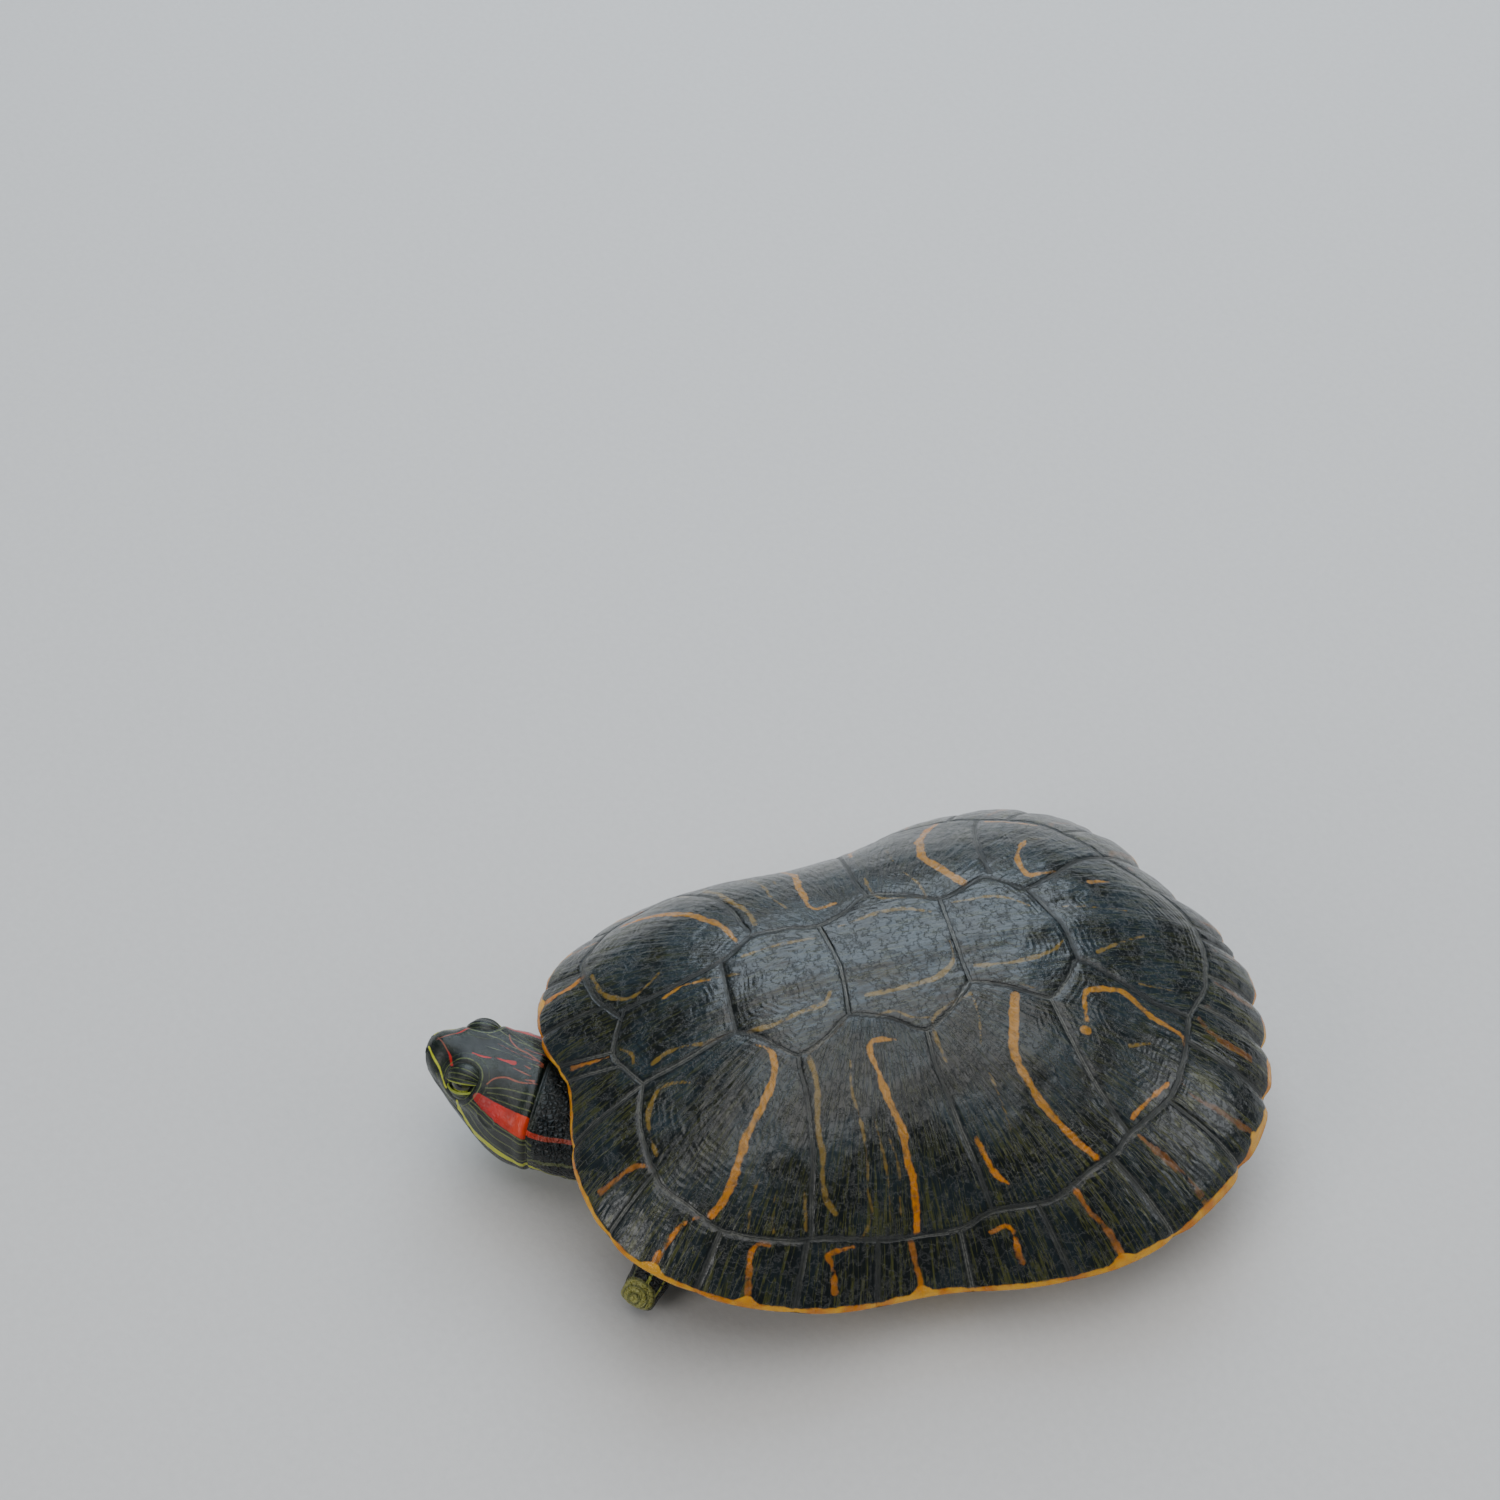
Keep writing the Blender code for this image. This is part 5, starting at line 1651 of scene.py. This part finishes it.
@dataclass(frozen=True)
class SkinFinish:
    """Dark pebbled skin with yellow stripes, a red patch and fine pale lines."""

    dark: Triple = (0.0045, 0.0075, 0.0065)
    olive: Triple = (0.018, 0.026, 0.014)
    blue: Triple = (0.008, 0.014, 0.018)
    yellow: Triple = (0.52, 0.54, 0.020)
    thin: Triple = (0.110, 0.125, 0.045)
    crimson: Triple = (0.46, 0.008, 0.006)
    orange: Triple = (0.56, 0.040, 0.008)
    pink: Triple = (0.30, 0.070, 0.035)

    def material(self) -> Material:
        """Build the finish."""
        graph = Graph("turtle_skin")
        cloud = graph.noise(150, 3)
        fine = graph.noise(900, 3)
        pebbles = graph.layer("pebbles")
        grain = graph.cells(640)
        small = graph.cells(2300)
        scales = grain.rise(0.0, 0.32)
        base = graph.mix(self.dark, self.olive, cloud.rise(0.38, 0.66) * 0.6)
        base = graph.mix(base, self.blue, pebbles * 0.55)
        base = graph.mix(base, self.blue, scales * pebbles * grain.rise(0.10, 0.40))
        # painted shade: the grooves between the pebbles are darkened nearly to black
        base = graph.mix(base, (0.0015, 0.002, 0.002), (1 - scales) * pebbles * 0.9)
        run = graph.layer("run")
        wander = (graph.noise(700, 3) - 0.5) * 0.5
        thin = (graph.layer(Tone.THIN.value) + wander * 0.3).rise(-0.14, 0.12)
        pink = (graph.layer(Tone.PINK.value) + wander * 0.2).rise(-0.14, 0.12)
        yellow = (graph.layer(Tone.YELLOW.value) + wander * 0.6).rise(-0.12, 0.14)
        red = (graph.layer(Tone.RED.value) + wander * 0.8).rise(-0.10, 0.16)
        halo = graph.layer(Tone.RED.value).rise(-0.9, -0.2) * 0.6
        base = graph.mix(base, self.dark, halo)
        base = graph.mix(base, self.thin, thin * (0.55 + fine * 0.6))
        base = graph.mix(base, self.pink, pink * (0.45 + fine * 0.6))
        bright = graph.mix(self.yellow, (0.33, 0.36, 0.09), run.rise(0.95, 1.2) * 0.7)
        base = graph.mix(base, bright, yellow * (0.75 + fine * 0.35))
        patch = graph.mix(self.crimson, self.orange, run.rise(0.62, 0.92))
        patch = graph.mix(patch, (0.20, 0.012, 0.010), cloud.rise(0.60, 0.44) * 0.5)
        patch = graph.mix(patch, (0.22, 0.05, 0.03), run.rise(0.98, 1.10) * 0.75)
        base = graph.mix(base, patch, red)
        arc = graph.layer("arc")
        lines = (arc * 3.7 + 1.2 + cloud * 2.5).wave().rise(0.70, 1.0) * arc.rise(7.5, 4.6)
        rim = arc.rise(0.45, 0.25)
        base = graph.mix(base, (0.11, 0.14, 0.04), lines * fine.rise(0.25, 0.50) * 0.85)
        base = graph.mix(base, (0.30, 0.35, 0.04), rim * 0.85)
        knob = graph.layer("knob")
        rings = (knob * 3.4).wave().rise(0.1, 0.9)
        lump = graph.mix((0.34, 0.33, 0.08), (0.11, 0.12, 0.030), rings * 0.7 + cloud * 0.2)
        base = graph.mix(base, lump, knob.rise(-0.3, 0.5))
        # painted shade in the mouth's slit and the nostrils
        groove = graph.layer(Tone.GROOVE.value).rise(-0.25, 0.15)
        base = graph.mix(base, (0.004, 0.005, 0.005), groove * 0.9)
        relief = scales * pebbles * 0.75 + small.rise(0.0, 0.4) * 0.06 + fine * 0.10
        relief = relief + rings * knob.rise(-0.3, 0.5) * 0.12 + cloud * 0.08
        roughness = 0.18 + cloud * 0.14 + pebbles * 0.06
        return graph.finish(base, roughness, relief, 0.8, coat=0.06, specular=0.34)


@dataclass(frozen=True)
class EyeFinish:
    """A wet eye: black pupil and bar, yellow-green iris with flecks, dark outer ring."""

    iris: Triple = (0.42, 0.46, 0.06)
    black: Triple = (0.004, 0.004, 0.004)

    def material(self) -> Material:
        """Build the finish."""
        graph = Graph("eye_green")
        along, up = graph.layer("eye_along"), graph.layer("eye_up")
        out = graph.layer("eye_out")
        fleck = graph.noise(1500, 4)
        spread = along * along + up * up
        iris = graph.mix(self.iris, (0.16, 0.20, 0.03), fleck.rise(0.38, 0.66))
        bar = (abs(up) + fleck * 0.25).rise(1.35, 1.05)
        iris = graph.mix(iris, self.black, bar * 0.9)
        iris = graph.mix(iris, self.black, spread.rise(1.7, 1.2))
        iris = graph.mix(iris, self.black, spread.rise(7.0, 9.5))
        ring = spread.rise(1.5, 1.8) * spread.rise(2.4, 2.0)
        iris = graph.mix(iris, (0.50, 0.50, 0.10), ring * bar.rise(0.9, 0.3) * 0.6)
        iris = graph.mix(iris, self.black, out.rise(1.6, 0.6))
        return graph.finish(
            iris, 0.15, fleck, 0.15, coat=0.6, coat_roughness=0.04, specular=0.3
        )


@dataclass(frozen=True)
class ClawFinish:
    """Dark horn, paler and clearer towards the tip."""

    def material(self) -> Material:
        """Build the finish."""
        graph = Graph("claw_horn")
        run = graph.layer("claw_run")
        grain = graph.noise(1400, 4)
        base = graph.mix((0.016, 0.014, 0.010), (0.13, 0.10, 0.06), run.rise(0.35, 1.0) * 0.7)
        base = graph.mix(base, (0.05, 0.042, 0.025), grain.rise(0.45, 0.65) * 0.6)
        return graph.finish(base, 0.28 + grain * 0.15, grain, 0.35, coat=0.3)


# ---------------------------------------------------------------- plastron and bridges


@dataclass
class Plastron:
    """The flat under-shell: six pairs of yellow plates with dark smudges."""

    offset: Vector
    centre: float = 0.480
    half_length: float = 0.443
    half_width: float = 0.232
    thickness: float = 0.0036
    front_lift: float = 0.0026
    edge_lift: float = 0.0016
    crossings: tuple[float, ...] = (0.180, 0.320, 0.500, 0.700, 0.860)
    squareness: float = 2.5
    columns: int = 300
    half_rows: int = 90

    def build(self) -> Piece:
        """Mould the plate with its midline and five crossing seams."""
        half = self.half_rows
        rows = 2 * half
        angle = ring_angles(self.columns)
        level = np.arange(rows + 1)[:, None]
        under = level >= half
        share = np.where(under, rows - level, level) / half
        share = np.sin(share * math.pi / 2) ** 0.8
        forward, across = np.abs(np.cos(angle)), np.abs(np.sin(angle))
        power = self.squareness
        oval = (forward / self.half_length) ** power + (across / self.half_width) ** power
        tail_notch = 0.05 * bell(np.sin(angle), 0.10) * (np.cos(angle) < 0)
        radius = oval ** (-1 / power) * (1 - tail_notch) * LENGTH * share
        x = radius * np.sin(angle)
        y = (self.centre - 0.5) * LENGTH - radius * np.cos(angle)
        lift = self.front_lift * np.clip(np.cos(angle), 0, 1) ** 2 + self.edge_lift
        z = lift * smooth_step(0.70, 1.0, share)
        rounded = 1 - 0.25 * share**8 - 0.35 * smooth_step(0.97, 1.0, share)
        z = z + np.where(under, 0.0, self.thickness * rounded)
        z = z + under * self.thickness * 0.30 * smooth_step(0.97, 1.0, share)
        points = np.stack([x + 0 * z, y + 0 * z, z], -1)
        mid = np.abs(x + 0.0006 * np.sin(y * 240)) / MM + 0 * z
        spot = y / LENGTH + 0.5 + 0.06 * np.cos(x / LENGTH * 9)
        away = np.abs(spot[..., None] - np.array(self.crossings)).min(-1) * LENGTH / MM
        gap = np.minimum(mid, away)
        dent = 0.22 * bell(gap, 0.5) + 0.02 * (1 + np.sin(gap * math.tau / RING_STEP))
        points[..., 2] += np.where(under, dent, 0.0) * MM
        layers = {"plate_gap": gap, "plate_edge": (1 - share) * 50 + 0 * z}
        made = Bench.moulded("shell_under", points + np.array(self.offset), layers)
        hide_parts("plastron")
        return made


@dataclass
class Bridge:
    """The curved wall between the under-shell and the rim, on one side."""

    side: Side
    seams: Triple = (0.05, 0.50, 0.95)

    def build(self, solid: Piece) -> Piece:
        """Round a copy of the solid wall and keep its plate's seams."""
        Bench.only(solid)
        bpy.ops.object.duplicate()
        made = bpy.context.object
        made.name = "shell_bridge_" + self.side.word
        made.data.name = made.name
        made.parent = None
        bpy.ops.object.mode_set(mode="EDIT")
        bpy.ops.mesh.select_all(action="SELECT")
        bpy.ops.mesh.remove_doubles(threshold=0.00001)
        bpy.ops.mesh.tris_convert_to_quads(face_threshold=1.2, shape_threshold=1.2)
        bpy.ops.object.mode_set(mode="OBJECT")
        rounded = made.modifiers.new("rounded", "SUBSURF")
        rounded.levels = rounded.render_levels = 3
        bpy.ops.object.modifier_apply(modifier=rounded.name)
        made.data.shade_smooth()
        points = Bench.points(made)
        low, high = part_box(solid.name)
        length = high.y - low.y
        share = (points[:, 1] - low.y) / length
        gap = np.abs(share[:, None] - np.array(self.seams)).min(-1) * length / MM
        Bench.layer(made, "plate_gap", gap)
        Bench.layer(made, "plate_edge", np.full(len(points), 20.0))
        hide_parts(solid.name)
        return made


@dataclass(frozen=True)
class PlateFinish:
    """Worn yellow horn with a dark smudge on each plate."""

    yellow: Triple = (0.60, 0.40, 0.11)
    dark: Triple = (0.040, 0.034, 0.018)

    def material(self) -> Material:
        """Build the finish."""
        graph = Graph("plastron_horn")
        gap, edge = graph.layer("plate_gap"), graph.layer("plate_edge")
        cloud, fine = graph.noise(85, 4), graph.noise(700, 3)
        base = graph.mix(self.yellow, (0.50, 0.25, 0.07), cloud.rise(0.4, 0.7) * 0.7)
        base = graph.mix(base, (0.66, 0.50, 0.20), fine.rise(0.5, 0.7) * 0.4)
        smudge = (gap + (cloud - 0.5) * 26 + (fine - 0.5) * 3).rise(6.0, 9.5)
        smudge = smudge * edge.rise(3.0, 9.0)
        base = graph.mix(base, self.dark, smudge * 0.88)
        rings = (gap * 2.7 + fine * 2).wave()
        base = graph.mix(base, (0.30, 0.17, 0.05), rings.rise(0.6, 1.0) * 0.25)
        base = graph.mix(base, (0.10, 0.07, 0.03), gap.rise(0.55, 0.15) * 0.8)
        relief = rings * 0.04 + fine * 0.08 - gap.rise(0.6, 0.1) * 0.15
        return graph.finish(base, 0.38 + fine * 0.15, relief, 0.7, coat=0.15)


# ---------------------------------------------------------------- studio


@dataclass
class Studio:
    """A pale floor, soft overcast lamps and the camera."""

    camera_place: Triple = (0.5406, -0.2205, 0.7770)
    camera_aim: Triple = (-0.6577, 0.2038, -0.7252)
    view_degrees: float = 28.0
    lamp_target: Triple = (0.0, 0.0, 0.04)

    def floor(self) -> None:
        """Lay a wide, flat, pale floor that reaches past every edge of the view."""
        bpy.ops.object.select_all(action="DESELECT")
        bpy.ops.mesh.primitive_circle_add(vertices=96, radius=2.4, fill_type="NGON")
        floor = bpy.context.object
        floor.name = "studio_floor"
        bpy.ops.object.mode_set(mode="EDIT")
        bpy.ops.mesh.select_all(action="SELECT")
        bpy.ops.mesh.inset(thickness=0.9)
        bpy.ops.object.mode_set(mode="OBJECT")
        graph = Graph("pale_floor")
        grain = graph.noise(380, 4)
        base = graph.mix((0.56, 0.555, 0.55), (0.63, 0.625, 0.62), grain)
        floor.data.materials.append(graph.finish(base, 0.75, grain, 0.12))

    def lamp(self, name: str, place: Triple, size: float, power: float, colour: Triple) -> None:
        """Hang one square soft lamp that looks at the shell."""
        bpy.ops.object.light_add(type="AREA", location=place)
        lamp = bpy.context.object
        lamp.name = name
        toward = Vector(self.lamp_target) - Vector(place)
        lamp.rotation_euler = toward.to_track_quat("-Z", "Y").to_euler()
        lamp.data.size = size
        lamp.data.energy = power
        lamp.data.color = colour

    def camera(self, offset: Vector) -> None:
        """Set the camera at the model's three-quarter view."""
        ahead = Vector(self.camera_aim).normalized()
        right = ahead.cross(Vector((0, 0, 1))).normalized()
        up = right.cross(ahead)
        bpy.ops.object.camera_add()
        camera = bpy.context.object
        turned = Matrix((right, up, -ahead)).transposed().to_4x4()
        camera.matrix_world = Matrix.Translation(Vector(self.camera_place) + offset) @ turned
        camera.data.sensor_fit = "AUTO"
        camera.data.angle = math.radians(self.view_degrees)
        camera.data.clip_start = 0.01
        bpy.context.scene.camera = camera

    def build(self, offset: Vector) -> None:
        """Set up the whole studio."""
        self.floor()
        world = bpy.data.worlds.new("overcast")
        world.use_nodes = True
        world.node_tree.nodes["Background"].inputs[0].default_value = (0.60, 0.68, 0.78, 1)
        world.node_tree.nodes["Background"].inputs[1].default_value = 0.22
        bpy.context.scene.world = world
        self.lamp("lamp_sky", (-1.1, 0.35, 1.05), 1.3, 20, (0.78, 0.89, 1.0))
        self.lamp("lamp_top", (0.10, 0.15, 2.1), 2.0, 30, (1.0, 0.985, 0.96))
        self.lamp("lamp_front", (0.5, -1.3, 0.9), 0.8, 8, (1.0, 0.98, 0.95))
        self.lamp("lamp_tail", (0.6, 1.3, 0.8), 0.8, 6, (0.95, 0.98, 1.0))
        self.camera(offset)


def main() -> None:
    """Build and dress the turtle, then the studio, and keep both sizes."""
    logging.basicConfig(level=logging.INFO, format="%(name)s: %(message)s")
    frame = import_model()
    low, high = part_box("plastron")
    front = (0.5 - Plastron.centre + Plastron.half_length) * LENGTH
    offset = Vector(((low.x + high.x) / 2, low.y + front, 0.0))
    LOG.info("shell offset %s", [round(v, 5) for v in offset])

    shell = ShellForm(offset)
    Bench.dress(Carapace(shell).build(), ShellFinish().material(), "shell_horn")

    head = HeadForm(offset)
    body = Body(offset, shell)
    pieces = [HeadSkin(head).build(), *(Lids(head, side).build() for side in Side), body.build()]
    skin = Bench.joined("turtle_skin", pieces)
    paired = ("foreleg", "forefoot", "hindleg", "hindfoot")
    flesh = [f"{part}_{side.word}" for part in paired for side in Side]
    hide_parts("head", "neck", "trunk", "tail", *flesh)
    Bench.dress(skin, SkinFinish().material(), "skin_olive")

    eye_finish = EyeFinish().material()
    for side in Side:
        Bench.dress(Eyeball(head, side).build(), eye_finish, "eye_green")

    claw_finish = ClawFinish().material()
    for side in Side:
        for name, foot in (("claws_fore_", body.forefoot), ("claws_hind_", body.hindfoot)):
            Bench.dress(body.claws(foot, side, name + side.word), claw_finish, "skin_foot")

    plate_finish = PlateFinish().material()
    Bench.dress(Plastron(offset).build(), plate_finish, "plastron_horn")
    for side in Side:
        solid = frame["nodes"]["bridge_" + side.word]
        Bench.dress(Bridge(side).build(solid), plate_finish, "plastron_horn")

    Studio().build(offset)


if __name__ == "__main__":
    main()
